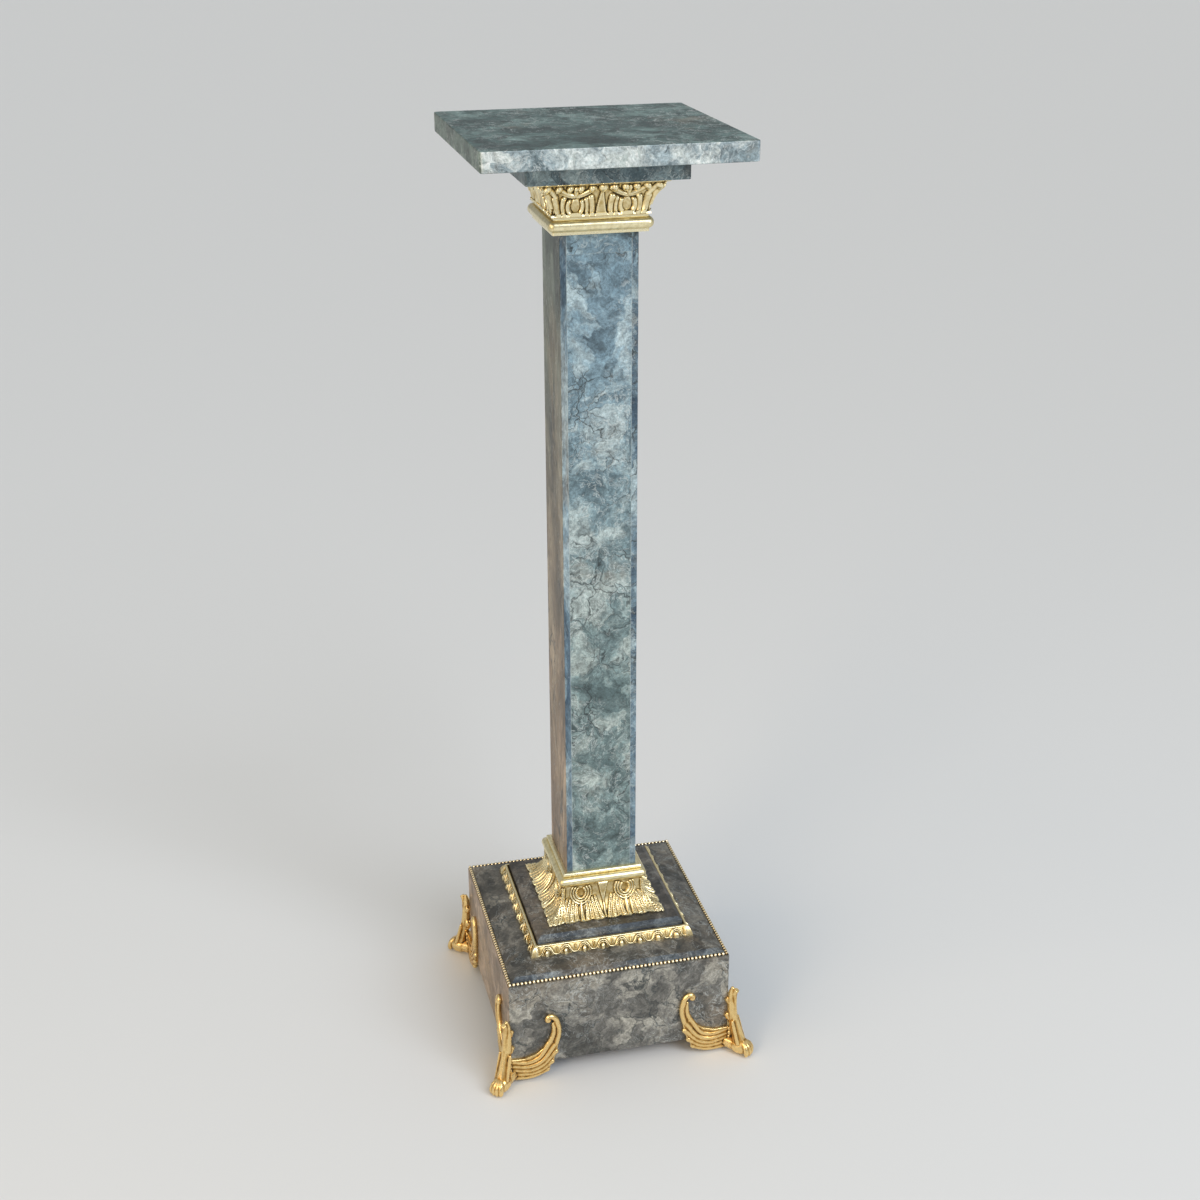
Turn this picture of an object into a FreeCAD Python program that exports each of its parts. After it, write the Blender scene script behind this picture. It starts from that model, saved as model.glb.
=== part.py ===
import FreeCAD, Part
import math
import os
from FreeCAD import Vector

# Square pedestal column stand: marble slabs round a hollow shaft and a hollow base, dressed with
# gilt bronze mounts and held together by one steel rod. Millimetres, +Z up. The origin is on the
# floor under the middle of the stand. The front looks along -Y.

# Base: a mitred box of five marble slabs, open below and held off the floor by its feet
floor_gap = 21.5
base_width = 260.0
base_height = 110.5
base_wall = 16.0
base_arris_radius = 1.5

# Crown of the base's top slab: a bevelled rim, then a gentle rise to a flat under the plinth
crown_rim_width = 6.4
crown_rim_rise = 3.5
crown_rise = 8.0
crown_flat_width = 197.0

# Beaded edging, let into a rebate along the base's top edges
bead_diameter = 4.0
bead_space = 0.63
bead_wire_diameter = 2.2
bead_rebate_width = 4.6
bead_rebate_depth = 2.6
bead_clearance = 0.1

# Plinth slab on the crown, and the egg-and-dart strips that frame it
plinth_width = 172.0
plinth_height = 20.0
plinth_corner_radius = 1.5
plinth_bevel_width = 5.0
plinth_bevel_height = 3.0
egg_strip_gap = 1.5
egg_strip_depth = 9.0
egg_strip_height = 12.5
egg_strip_foot = 1.5
egg_strip_lip_depth = 2.5
egg_strip_lip_height = 1.0
egg_strip_bulge = 1.6
egg_strip_corner_radius = 7.0
egg_pitch = 21.8
egg_width = 7.0

# Shaft: front and back panels let in between two full-depth side slabs
shaft_width = 82.0
shaft_length = 847.0
shaft_wall = 7.0
shaft_arris_radius = 1.0
front_top_panel_length = 76.0

# Bronze rings and leaf mounts round the shaft. Each projection is measured out from its faces
mount_clearance = 0.3
mount_wall = 4.0
collar_leaf_height = 39.0
collar_neck_height = 11.0
collar_lip_height = 2.5
collar_lip_projection = 27.0
collar_neck_projection = 7.0
collar_torus_radius = 5.2
collar_torus_projection = 11.0
collar_bead_radius = 2.6
collar_bead_projection = 5.5
capital_leaf_height = 40.0
capital_lip_height = 3.0
capital_lip_projection = 26.0
capital_neck_projection = 8.0
capital_groove_height = 3.0
capital_groove_depth = 0.5
capital_fillet_height = 2.5
capital_fillet_projection = 10.0
capital_torus_radius = 6.0
capital_torus_projection = 13.3
capital_foot_height = 3.0
capital_foot_projection = 8.6

# Abacus block and the top slab that it carries
abacus_width = 165.0
abacus_height = 23.0
abacus_ease = 0.8
abacus_corner_radius = 2.0
top_width = 270.0
top_thickness = 20.0
top_ease = 1.2
top_corner_radius = 4.0

# Steel rod through the middle of the stand, with a nut at each end
rod_diameter = 10.0
rod_bore_clearance = 0.5
rod_end = 2.0
thread_clearance = 0.05
nut_across_flats = 17.0
nut_height = 8.0
nut_chamfer = 1.0
washer_diameter = 30.0
washer_thickness = 2.5
recess_clearance = 1.0
recess_headroom = 1.5
clamp_plate_width = 70.0
clamp_plate_thickness = 5.0

# Wooden plugs that close the hollow shaft at both ends
plug_height = 45.0

# Dowels between the abacus and the top slab
dowel_diameter = 6.0
dowel_length = 20.0
dowel_spacing = 110.0
dowel_clearance = 0.1
dowel_end_gap = 0.5

# Wooden blocks in the corners of the base, and the screws that hold the feet to them. The insets
# and the lug's reach are measured in from the inner faces of the base's side slabs
corner_block_width = 38.0
corner_block_height = 60.0
screw_diameter = 4.0
screw_head_diameter = 8.0
screw_length = 40.0
screw_clearance = 0.1
screw_slot_width = 1.2
screw_slot_depth = 1.0
screw_near_inset = 8.0
screw_far_inset = 22.0
lug_reach = 30.0
lug_thickness = 4.0

# Winged paw feet, cast in one piece. Outboard is measured away from the base's corner, inboard
# back along a face from it, and heights are measured from the floor
foot_clearance = 0.2
heel_radius = 8.5
heel_inboard = 12.0
heel_drop = 0.6
paw_radius = 11.0
paw_height = 10.5
paw_outboard = 13.5
toe_count = 4
toe_radius = 4.2
toe_flat = 0.6
toe_spread_deg = 60.0
toe_reach = 11.5
knuckle_reach = 4.0
knuckle_height = 15.0
leg_heights = (12.0, 26.0, 45.0, 65.0, 80.0, 90.0)
leg_outboards = (12.5, 9.5, 5.5, 3.8, 3.4, 4.4)
leg_radii = (10.0, 8.0, 7.2, 6.8, 5.4, 2.5)
leaf_lobe_radius = 3.8
leaf_lobe_inboard = 3.8
leaf_lobe_outboard = 3.0
leaf_lobe_rise = 9.0
leaf_lobe_out = 2.2
leaf_lobe_heights = (47.0, 59.0, 71.0, 82.0)

# Feathers of a wing, from the top one down: root, middle and tip, as (inboard, height)
feather_radius = 3.4
feather_tip_radius = 3.8
feather_out = 2.6
feather_arcs = (
    ((-6.0, 31.0), (28.0, 28.5), (46.5, 51.0)),
    ((-6.0, 25.0), (30.0, 22.5), (53.5, 48.0)),
    ((-6.0, 19.5), (30.0, 17.0), (52.8, 36.0)),
    ((-6.0, 14.0), (30.0, 11.8), (48.0, 22.8)),
    ((-6.0, 8.5), (24.0, 7.0), (42.5, 12.8)),
)
# The top feather runs on upwards to a thinner quill
quill_middle = (49.6, 61.0)
quill_tip = (48.0, 72.0)
quill_radius = 2.9
quill_tip_radius = 3.1
# The second one runs on to a scroll, which ends in a tighter curl
scroll_middle = (56.6, 66.0)
scroll_end = (50.9, 82.5)
curl_middle = (46.6, 86.8)
curl_end = (42.3, 82.5)
curl_radius = 3.2
curl_tip_radius = 3.6

# Levels, from the floor up
base_bottom = floor_gap
base_top = base_bottom + base_height
crown_top = base_top + crown_rise
plinth_top = crown_top + plinth_height
shaft_top = plinth_top + shaft_length
abacus_top = shaft_top + abacus_height
stand_top = abacus_top + top_thickness

base_half = base_width / 2
base_inner_half = base_half - base_wall
base_slab_underside = base_top - base_wall
shaft_half = shaft_width / 2
shaft_inner_half = shaft_half - shaft_wall
rod_bore_radius = rod_diameter / 2 + rod_bore_clearance
recess_depth = washer_thickness + nut_height + rod_end + recess_headroom
recess_floor = abacus_top - recess_depth
top_nut_bottom = recess_floor + washer_thickness
bottom_nut_top = base_slab_underside - clamp_plate_thickness

UP = Vector(0, 0, 1)
ORIGIN = Vector(0, 0, 0)
QUARTER_TURN_DEG = 90
FULL_TURN_DEG = 360
HEXAGON_SIDES = 6
LEVEL_TOLERANCE = 0.001
UPRIGHT_TOLERANCE_DEG = 1
SIDES = ("front", "right", "back", "left")
CORNERS = ("back_right", "back_left", "front_left", "front_right")


# ---- Basic shapes ----

def block(width, depth, bottom, top):
    """A block centred on the stand's axis."""
    return Part.makeBox(width, depth, top - bottom, Vector(-width / 2, -depth / 2, bottom))


def box_between(low, high):
    """A box from its lowest corner to its highest."""
    size = high - low
    return Part.makeBox(size.x, size.y, size.z, low)


def upright_edges(solid):
    """The edges that run straight up."""
    found = []
    for edge in solid.Edges:
        run = edge.valueAt(edge.LastParameter) - edge.valueAt(edge.FirstParameter)
        if run.Length > 0 and abs(run.normalize().z) > math.cos(math.radians(UPRIGHT_TOLERANCE_DEG)):
            found.append(edge)
    return found


def edges_at(solid, level):
    """The edges that lie wholly at one level."""
    found = []
    for edge in solid.Edges:
        box = edge.BoundBox
        if max(abs(box.ZMin - level), abs(box.ZMax - level)) < LEVEL_TOLERANCE:
            found.append(edge)
    return found


def rounded_block(width, corner_radius, bottom, top):
    """A square block with rounded upright corners."""
    solid = block(width, width, bottom, top)
    return solid.makeFillet(corner_radius, upright_edges(solid))


def eased_slab(width, corner_radius, ease, bottom, top):
    """A square slab with rounded corners, and top and bottom arrises lightly eased."""
    solid = rounded_block(width, corner_radius, bottom, top)
    return solid.makeFillet(ease, edges_at(solid, bottom) + edges_at(solid, top))


def upright_cylinder(radius, bottom, top, x=0.0, y=0.0):
    """A cylinder that stands on a level."""
    return Part.makeCylinder(radius, top - bottom, Vector(x, y, bottom), UP)


def rod_bore(bottom, top):
    """The hole for the rod through a piece between two levels."""
    return upright_cylinder(rod_bore_radius, bottom, top)


def square_stack(levels):
    """A solid with a square section of the given (half width, height) at each level."""
    wires = []
    for half, height in levels:
        corners = [Vector(x * half, y * half, height) for x, y in ((-1, -1), (1, -1), (1, 1), (-1, 1))]
        wires.append(Part.makePolygon(corners + corners[:1]))
    return Part.makeLoft(wires, True, True)


def turned(solid, quarter_turns):
    """A copy turned round the stand's axis."""
    copy = solid.copy()
    copy.rotate(ORIGIN, UP, QUARTER_TURN_DEG * quarter_turns)
    return copy


# ---- Profiles that run round the four sides with mitred corners ----

def at(reach, height):
    """A point of the front side's profile, by its distance out from the axis and its height."""
    return Vector(0, -reach, height)


def straight(*points):
    """Straight profile edges through the points."""
    return [Part.LineSegment(start, end).toShape() for start, end in zip(points, points[1:])]


def curved(start, middle, end):
    """One round profile edge."""
    return [Part.Arc(start, middle, end).toShape()]


def half_round(reach, bottom, radius):
    """A half-round moulding whose crest stands at the given reach."""
    middle = bottom + radius
    return curved(at(reach - radius, bottom), at(reach, middle), at(reach - radius, middle + radius))


def flare(neck_reach, neck_height, lip_reach, lip_height):
    """A hollow curve that leaves the neck upright and sweeps out to the lip."""
    out = lip_reach - neck_reach
    rise = lip_height - neck_height
    radius = (out ** 2 + rise ** 2) / (2 * out)
    sweep = math.atan2(rise, radius - out)
    middle_reach = neck_reach + radius * (1 - math.cos(sweep / 2))
    middle_height = neck_height + radius * math.sin(sweep / 2)
    return curved(at(neck_reach, neck_height), at(middle_reach, middle_height), at(lip_reach, lip_height))


def front_sector():
    """The quarter of the stand's space that lies in front, bounded by the mitre planes."""
    reach = max(base_width, top_width)
    corners = [ORIGIN, Vector(reach, -reach, 0), Vector(-reach, -reach, 0), ORIGIN]
    return Part.Face(Part.makePolygon(corners)).extrude(Vector(0, 0, stand_top))


def front_run(profile):
    """A closed profile drawn out along the front, past both mitres."""
    face = Part.Face(Part.Wire(profile))
    reach = -face.BoundBox.YMin
    face.translate(Vector(-reach, 0, 0))
    return face.extrude(Vector(2 * reach, 0, 0))


def front_side(profile):
    """The front quarter of a square ring, mitred at both ends."""
    return front_run(profile).common(front_sector())


def square_ring(profile):
    """A closed profile carried round all four sides."""
    side = front_side(profile)
    ring = side.fuse([turned(side, turns) for turns in range(1, len(SIDES))])
    return ring.removeSplitter()


# ---- Round bars ----

def capsule(start, end, radius):
    """A round bar with half-ball ends."""
    along = (end - start).normalize()
    side = along.cross(UP)
    if side.Length < math.sin(math.radians(UPRIGHT_TOLERANCE_DEG)):
        side = Vector(1, 0, 0)
    side.normalize()
    shoulder_a = start + side * radius
    shoulder_b = end + side * radius
    tip_a = start - along * radius
    tip_b = end + along * radius
    cap_a = start + (side - along).normalize() * radius
    cap_b = end + (side + along).normalize() * radius
    edges = curved(tip_a, cap_a, shoulder_a) + straight(shoulder_a, shoulder_b)
    edges += curved(shoulder_b, cap_b, tip_b) + straight(tip_b, tip_a)
    return Part.Face(Part.Wire(edges)).revolve(start, along, FULL_TURN_DEG)


# ---- Base box ----

def base_side_slab():
    """Front slab of the base: mitred to its neighbours and to the top slab."""
    rebate_reach = base_half - bead_rebate_width
    rebate_level = base_top - bead_rebate_depth
    profile = straight(
        at(base_half, base_bottom),
        at(base_half, rebate_level),
        at(rebate_reach, rebate_level),
        at(base_inner_half, base_slab_underside),
        at(base_inner_half, base_bottom),
        at(base_half, base_bottom),
    )
    envelope = rounded_block(base_width, base_arris_radius, base_bottom, base_top)
    return front_side(profile).common(envelope)


def base_top_slab():
    """Top slab of the base: mitred under, rebated for the beads, and crowned on top."""
    rebate_half = base_half - bead_rebate_width
    slab = square_stack((
        (base_inner_half, base_slab_underside),
        (rebate_half, base_top - bead_rebate_depth),
        (rebate_half, base_top),
        (rebate_half - crown_rim_width, base_top + crown_rim_rise),
        (crown_flat_width / 2, crown_top),
    ))
    return slab.cut(rod_bore(base_slab_underside, crown_top))


# ---- Beaded edging ----

def bead_strip():
    """Beaded wire in the front rebate, from the left corner's bead to one short of the right."""
    bead_radius = bead_diameter / 2
    wire_radius = bead_wire_diameter / 2
    centre_reach = base_half - bead_rebate_width + bead_radius + bead_clearance
    centre_level = base_top - bead_rebate_depth + bead_radius + bead_clearance
    count = math.floor(2 * centre_reach / (bead_diameter + bead_space))
    pitch = 2 * centre_reach / count
    half_chord = math.sqrt(bead_radius ** 2 - wire_radius ** 2)

    def on_wire(along, radius):
        return Vector(along - centre_reach, -centre_reach, centre_level + radius)

    start = on_wire(-half_chord, 0)
    edges = straight(start, on_wire(-half_chord, wire_radius))
    for number in range(count):
        middle = number * pitch
        edges += curved(
            on_wire(middle - half_chord, wire_radius),
            on_wire(middle, bead_radius),
            on_wire(middle + half_chord, wire_radius),
        )
        if number < count - 1:
            edges += straight(
                on_wire(middle + half_chord, wire_radius),
                on_wire(middle + pitch - half_chord, wire_radius),
            )
    end = on_wire((count - 1) * pitch + half_chord, 0)
    edges += straight(on_wire((count - 1) * pitch + half_chord, wire_radius), end, start)
    face = Part.Face(Part.Wire(edges))
    return face.revolve(start, Vector(1, 0, 0), FULL_TURN_DEG)


# ---- Plinth slab and egg-and-dart strips ----

def plinth_slab():
    """Low slab between the base and the shaft, bevelled round its top."""
    half = plinth_width / 2
    slab = square_stack((
        (half, crown_top),
        (half, plinth_top - plinth_bevel_height),
        (half - plinth_bevel_width, plinth_top),
    ))
    envelope = rounded_block(plinth_width, plinth_corner_radius, crown_top, plinth_top)
    return slab.common(envelope).cut(rod_bore(crown_top, plinth_top))


def egg(foot, crown):
    """An egg that lies on the line from its foot to its crown, with round ends."""
    along = (crown - foot).normalize()
    radius = egg_width / 2
    return capsule(foot + along * radius, crown - along * radius, radius)


def egg_and_dart_strip():
    """Front strip: a quarter-round moulding set with eggs, and half an egg at each mitre."""
    inner = plinth_width / 2 + egg_strip_gap
    outer = inner + egg_strip_depth
    top = crown_top + egg_strip_height
    foot_level = crown_top + egg_strip_foot
    crown_level = top - egg_strip_lip_height
    crown_reach = inner + egg_strip_lip_depth
    chord = Vector(0, crown_reach - outer, crown_level - foot_level)
    outward = Vector(0, -chord.z, chord.y).normalize()
    chord_middle = at((outer + crown_reach) / 2, (foot_level + crown_level) / 2)
    bulge_point = chord_middle + outward * egg_strip_bulge
    profile = straight(at(inner, crown_top), at(outer, crown_top), at(outer, foot_level))
    profile += curved(at(outer, foot_level), bulge_point, at(crown_reach, crown_level))
    profile += straight(
        at(crown_reach, crown_level),
        at(crown_reach, top),
        at(inner, top),
        at(inner, crown_top),
    )
    count = round(2 * inner / egg_pitch)
    pitch = 2 * inner / count
    eggs = []
    for number in range(count):
        along = Vector((number + 1 / 2) * pitch - inner, 0, 0)
        foot = at(outer, foot_level) + along
        crown = at(crown_reach, crown_level) + along
        eggs.append(egg(foot, crown))
    corner_loss = egg_strip_corner_radius * (1 - math.sqrt(1 / 2))
    for side in (-1, 1):
        foot = Vector(side * (outer - corner_loss), corner_loss - outer, foot_level)
        crown = Vector(side * crown_reach, -crown_reach, crown_level)
        eggs.append(egg(foot, crown))
    envelope = rounded_block(2 * outer, egg_strip_corner_radius, crown_top, top)
    moulding = front_run(profile).common(envelope)
    strip = moulding.fuse(eggs).cut(block(2 * inner, 2 * inner, crown_top, top))
    return strip.common(front_sector())


# ---- Shaft ----

def shaft_side_slab():
    """Left slab of the shaft: full depth, with its two outer arrises eased."""
    slab = box_between(
        Vector(-shaft_half, -shaft_half, plinth_top),
        Vector(-shaft_inner_half, shaft_half, shaft_top),
    )
    envelope = rounded_block(shaft_width, shaft_arris_radius, plinth_top, shaft_top)
    return slab.common(envelope)


def shaft_panel(bottom, top):
    """Front panel between the side slabs, from one level to another."""
    return box_between(
        Vector(-shaft_inner_half, -shaft_half, bottom),
        Vector(shaft_inner_half, -shaft_inner_half, top),
    )


def shaft_plug(bottom, top):
    """Wooden plug that fills the hollow shaft between two levels."""
    plug = block(2 * shaft_inner_half, 2 * shaft_inner_half, bottom, top)
    return plug.cut(rod_bore(bottom, top))


# ---- Bronze rings and leaf mounts ----

def collar_acanthus_mount():
    """Cast mount that spreads from the shaft to the plinth slab, hollow behind."""
    lip = shaft_half + collar_lip_projection
    neck = shaft_half + collar_neck_projection
    top = plinth_top + collar_leaf_height
    neck_level = top - collar_neck_height
    lip_level = plinth_top + collar_lip_height
    profile = straight(at(lip - mount_wall, plinth_top), at(lip, plinth_top), at(lip, lip_level))
    profile += flare(neck, neck_level, lip, lip_level)
    profile += straight(at(neck, neck_level), at(neck, top), at(neck - mount_wall, top),
                        at(neck - mount_wall, neck_level))
    profile += flare(neck - mount_wall, neck_level, lip - mount_wall, lip_level)
    profile += straight(at(lip - mount_wall, lip_level), at(lip - mount_wall, plinth_top))
    return square_ring(profile)


def collar_torus_ring():
    """Ring on top of the collar: a half-round with a smaller one above it."""
    inner = shaft_half + mount_clearance
    bottom = plinth_top + collar_leaf_height
    middle = bottom + 2 * collar_torus_radius
    top = middle + 2 * collar_bead_radius
    torus_reach = shaft_half + collar_torus_projection
    bead_reach = shaft_half + collar_bead_projection
    torus_shoulder = torus_reach - collar_torus_radius
    bead_shoulder = bead_reach - collar_bead_radius
    profile = straight(at(inner, bottom), at(torus_shoulder, bottom))
    profile += half_round(torus_reach, bottom, collar_torus_radius)
    profile += straight(at(torus_shoulder, middle), at(bead_shoulder, middle))
    profile += half_round(bead_reach, middle, collar_bead_radius)
    profile += straight(at(bead_shoulder, top), at(inner, top), at(inner, bottom))
    return square_ring(profile)


def capital_torus_ring():
    """Ring under the capital: a flat foot with a half-round on it."""
    inner = shaft_half + mount_clearance
    top = shaft_top - capital_leaf_height
    torus_bottom = top - 2 * capital_torus_radius
    bottom = torus_bottom - capital_foot_height
    torus_reach = shaft_half + capital_torus_projection
    foot_reach = shaft_half + capital_foot_projection
    profile = straight(
        at(inner, bottom),
        at(foot_reach, bottom),
        at(foot_reach, torus_bottom),
        at(torus_reach - capital_torus_radius, torus_bottom),
    )
    profile += half_round(torus_reach, torus_bottom, capital_torus_radius)
    profile += straight(at(torus_reach - capital_torus_radius, top), at(inner, top), at(inner, bottom))
    return square_ring(profile)


def capital_acanthus_mount():
    """Cast mount that spreads from the torus ring to the abacus, hollow behind."""
    bottom = shaft_top - capital_leaf_height
    groove_level = bottom + capital_groove_height
    neck_level = groove_level + capital_fillet_height
    lip_level = shaft_top - capital_lip_height
    lip = shaft_half + capital_lip_projection
    neck = shaft_half + capital_neck_projection
    groove = neck - capital_groove_depth
    fillet = shaft_half + capital_fillet_projection
    profile = straight(
        at(neck - mount_wall, neck_level),
        at(neck - mount_wall, bottom),
        at(groove, bottom),
        at(groove, groove_level),
        at(fillet, groove_level),
        at(fillet, neck_level),
        at(neck, neck_level),
    )
    profile += flare(neck, neck_level, lip, lip_level)
    profile += straight(at(lip, lip_level), at(lip, shaft_top), at(lip - mount_wall, shaft_top),
                        at(lip - mount_wall, lip_level))
    profile += flare(neck - mount_wall, neck_level, lip - mount_wall, lip_level)
    return square_ring(profile)


# ---- Abacus, top slab and dowels ----

def dowel_places():
    """The dowels stand left and right of the rod."""
    return (-dowel_spacing / 2, dowel_spacing / 2)


def dowel_holes():
    """Blind holes for the dowels, on both sides of the joint between abacus and top slab."""
    radius = dowel_diameter / 2 + dowel_clearance
    depth = dowel_length / 2 + dowel_end_gap
    return [upright_cylinder(radius, abacus_top - depth, abacus_top + depth, x) for x in dowel_places()]


def top_slab_dowels():
    """The two dowels, half in the abacus and half in the top slab."""
    low = abacus_top - dowel_length / 2
    high = abacus_top + dowel_length / 2
    return Part.makeCompound([upright_cylinder(dowel_diameter / 2, low, high, x) for x in dowel_places()])


def abacus_block():
    """Block under the top slab, counterbored for the rod's top nut."""
    slab = eased_slab(abacus_width, abacus_corner_radius, abacus_ease, shaft_top, abacus_top)
    recess_radius = washer_diameter / 2 + recess_clearance
    recess = upright_cylinder(recess_radius, recess_floor, abacus_top)
    return slab.cut([rod_bore(shaft_top, abacus_top), recess] + dowel_holes())


def top_slab():
    """Slab that carries what is shown on the stand."""
    slab = eased_slab(top_width, top_corner_radius, top_ease, abacus_top, stand_top)
    return slab.cut(dowel_holes())


# ---- Rod, nuts, washer and clamp plate ----

def hex_nut(bottom):
    """Hexagon nut with chamfered corners."""
    corner_radius = nut_across_flats / math.sqrt(3)
    corners = []
    for number in range(HEXAGON_SIDES):
        turn = math.radians(number * FULL_TURN_DEG / HEXAGON_SIDES)
        corners.append(Vector(corner_radius * math.cos(turn), corner_radius * math.sin(turn), bottom))
    hexagon = Part.Face(Part.makePolygon(corners + corners[:1]))
    prism = hexagon.extrude(Vector(0, 0, nut_height))
    blank = upright_cylinder(corner_radius, bottom, bottom + nut_height)
    rims = edges_at(blank, bottom) + edges_at(blank, bottom + nut_height)
    bore = upright_cylinder(rod_diameter / 2 + thread_clearance, bottom, bottom + nut_height)
    return prism.common(blank.makeChamfer(nut_chamfer, rims)).cut(bore)


def tie_rod():
    """Rod from below the bottom nut to just above the top nut."""
    bottom = bottom_nut_top - nut_height - rod_end
    top = top_nut_bottom + nut_height + rod_end
    return upright_cylinder(rod_diameter / 2, bottom, top)


def top_washer():
    """Washer on the floor of the abacus's counterbore."""
    ring = upright_cylinder(washer_diameter / 2, recess_floor, top_nut_bottom)
    return ring.cut(rod_bore(recess_floor, top_nut_bottom))


def clamp_plate():
    """Square plate that spreads the bottom nut's pull over the base's top slab."""
    plate = block(clamp_plate_width, clamp_plate_width, bottom_nut_top, base_slab_underside)
    return plate.cut(rod_bore(bottom_nut_top, base_slab_underside))


# ---- Corner blocks and foot screws, for the back right corner ----

def screw_places():
    """The two screws of a foot, either side of the corner's diagonal."""
    near = base_inner_half - screw_near_inset
    far = base_inner_half - screw_far_inset
    return ((near, far), (far, near))


def screw_body(x, y, clearance):
    """Countersunk wood screw, driven up from the underside of the foot's lug."""
    bottom = base_bottom - lug_thickness
    head_height = (screw_head_diameter - screw_diameter) / 2
    shank_radius = screw_diameter / 2 + clearance
    head_radius = screw_head_diameter / 2 + clearance
    head = Part.makeCone(head_radius, shank_radius, head_height, Vector(x, y, bottom), UP)
    shank = upright_cylinder(shank_radius, bottom, bottom + screw_length + clearance, x, y)
    return head.fuse(shank).removeSplitter()


def foot_screw(x, y):
    """One screw with the driver's slot across its head."""
    bottom = base_bottom - lug_thickness
    half_slot = screw_slot_width / 2
    slot = box_between(
        Vector(x - screw_head_diameter, y - half_slot, bottom),
        Vector(x + screw_head_diameter, y + half_slot, bottom + screw_slot_depth),
    )
    return screw_body(x, y, 0).cut(slot)


def corner_block():
    """Wooden block glued into a corner of the base, flush with its bottom edge."""
    near = base_inner_half
    far = near - corner_block_width
    top = base_bottom + corner_block_height
    solid = box_between(Vector(far, far, base_bottom), Vector(near, near, top))
    return solid.cut([screw_body(x, y, screw_clearance) for x, y in screw_places()])


# ---- Winged paw foot, for the back right corner ----

def bent_bar(start, middle, end, radius):
    """A round bar along an arc through three points."""
    path = Part.Arc(start, middle, end).toShape()
    circle = path.Curve
    heading = path.tangentAt(path.FirstParameter)
    section = Part.Face(Part.Wire(Part.makeCircle(radius, start, heading)))
    sweep_deg = math.degrees(path.LastParameter - path.FirstParameter)
    return section.revolve(circle.Center, circle.Axis, sweep_deg)


def paw():
    """Ball of the paw and its toes, spread about the corner's diagonal."""
    centre_place = base_half + paw_outboard
    shapes = [Part.makeSphere(paw_radius, Vector(centre_place, centre_place, paw_height))]
    for number in range(toe_count):
        turn_deg = QUARTER_TURN_DEG / 2 + toe_spread_deg * (number / (toe_count - 1) - 1 / 2)
        heading = Vector(math.cos(math.radians(turn_deg)), math.sin(math.radians(turn_deg)), 0)
        centre = Vector(centre_place, centre_place, 0)
        knuckle = centre + heading * knuckle_reach + UP * knuckle_height
        tip = centre + heading * toe_reach + UP * (toe_radius - toe_flat)
        shapes.append(capsule(knuckle, tip, toe_radius))
    return shapes


def leg():
    """Leg that rises from the paw and wraps the corner of the base."""
    wires = []
    for height, outboard, radius in zip(leg_heights, leg_outboards, leg_radii):
        centre = Vector(base_half + outboard, base_half + outboard, height)
        wires.append(Part.Wire(Part.makeCircle(radius, centre, UP)))
    return Part.makeLoft(wires, True, False)


def heel_and_lug():
    """Heel that runs back under the base, and the lug that is screwed to its corner block."""
    outer = base_half + paw_outboard
    inner = base_half - heel_inboard
    heel_level = base_bottom - heel_radius - heel_drop
    heel = capsule(Vector(outer, outer, paw_height), Vector(inner, inner, heel_level), heel_radius)
    lug_inner = base_inner_half - lug_reach
    lug = box_between(
        Vector(lug_inner, lug_inner, base_bottom - lug_thickness),
        Vector(base_half - foot_clearance, base_half - foot_clearance, base_bottom),
    )
    return [heel, lug]


def on_back_face(inboard, height, out):
    """A point on the base's back face near the back right corner."""
    return Vector(base_half - inboard, base_half + out, height)


def wing():
    """Feathers that sweep along the back face, the top one ending in a scroll."""
    top_tip = feather_arcs[0][-1]
    second_tip = feather_arcs[1][-1]
    feather = (feather_radius, feather_tip_radius)
    bars = [(arc, feather) for arc in feather_arcs]
    bars.append(((top_tip, quill_middle, quill_tip), (quill_radius, quill_tip_radius)))
    bars.append(((second_tip, scroll_middle, scroll_end), (feather_radius, feather_radius)))
    bars.append(((scroll_end, curl_middle, curl_end), (curl_radius, curl_tip_radius)))
    shapes = []
    for arc, (radius, tip_radius) in bars:
        points = [on_back_face(inboard, height, feather_out) for inboard, height in arc]
        shapes.append(bent_bar(*points, radius))
        shapes.append(Part.makeSphere(tip_radius, points[-1]))
    return shapes


def leaf_lobes():
    """Lobes of the leaf that climbs the corner, slanting up and out over the back face."""
    lobes = []
    for height in leaf_lobe_heights:
        root = on_back_face(-leaf_lobe_outboard, height - leaf_lobe_rise, leaf_lobe_out)
        tip = on_back_face(leaf_lobe_inboard, height, leaf_lobe_out)
        lobes.append(capsule(root, tip, leaf_lobe_radius))
    return lobes


def across_corner(shape):
    """The same shape on the other face of the corner."""
    return shape.mirror(ORIGIN, Vector(1, -1, 0))


def winged_foot():
    """One foot casting, clear of the base's faces, flat on the floor and bored for its screws."""
    one_face = wing() + leaf_lobes()
    shapes = paw() + heel_and_lug() + one_face + [across_corner(shape) for shape in one_face]
    casting = leg().fuse(shapes)
    clear_width = base_width + 2 * foot_clearance
    base_envelope = block(clear_width, clear_width, base_bottom, stand_top)
    below_floor = block(2 * base_width, 2 * base_width, -base_width, 0)
    screw_holes = [screw_body(x, y, screw_clearance) for x, y in screw_places()]
    return casting.cut([base_envelope, below_floor] + screw_holes)


# ---- Write every piece ----

def export(name, shape):
    """Write one piece."""
    shape.exportStep(f"parts/{name}.step")


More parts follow.
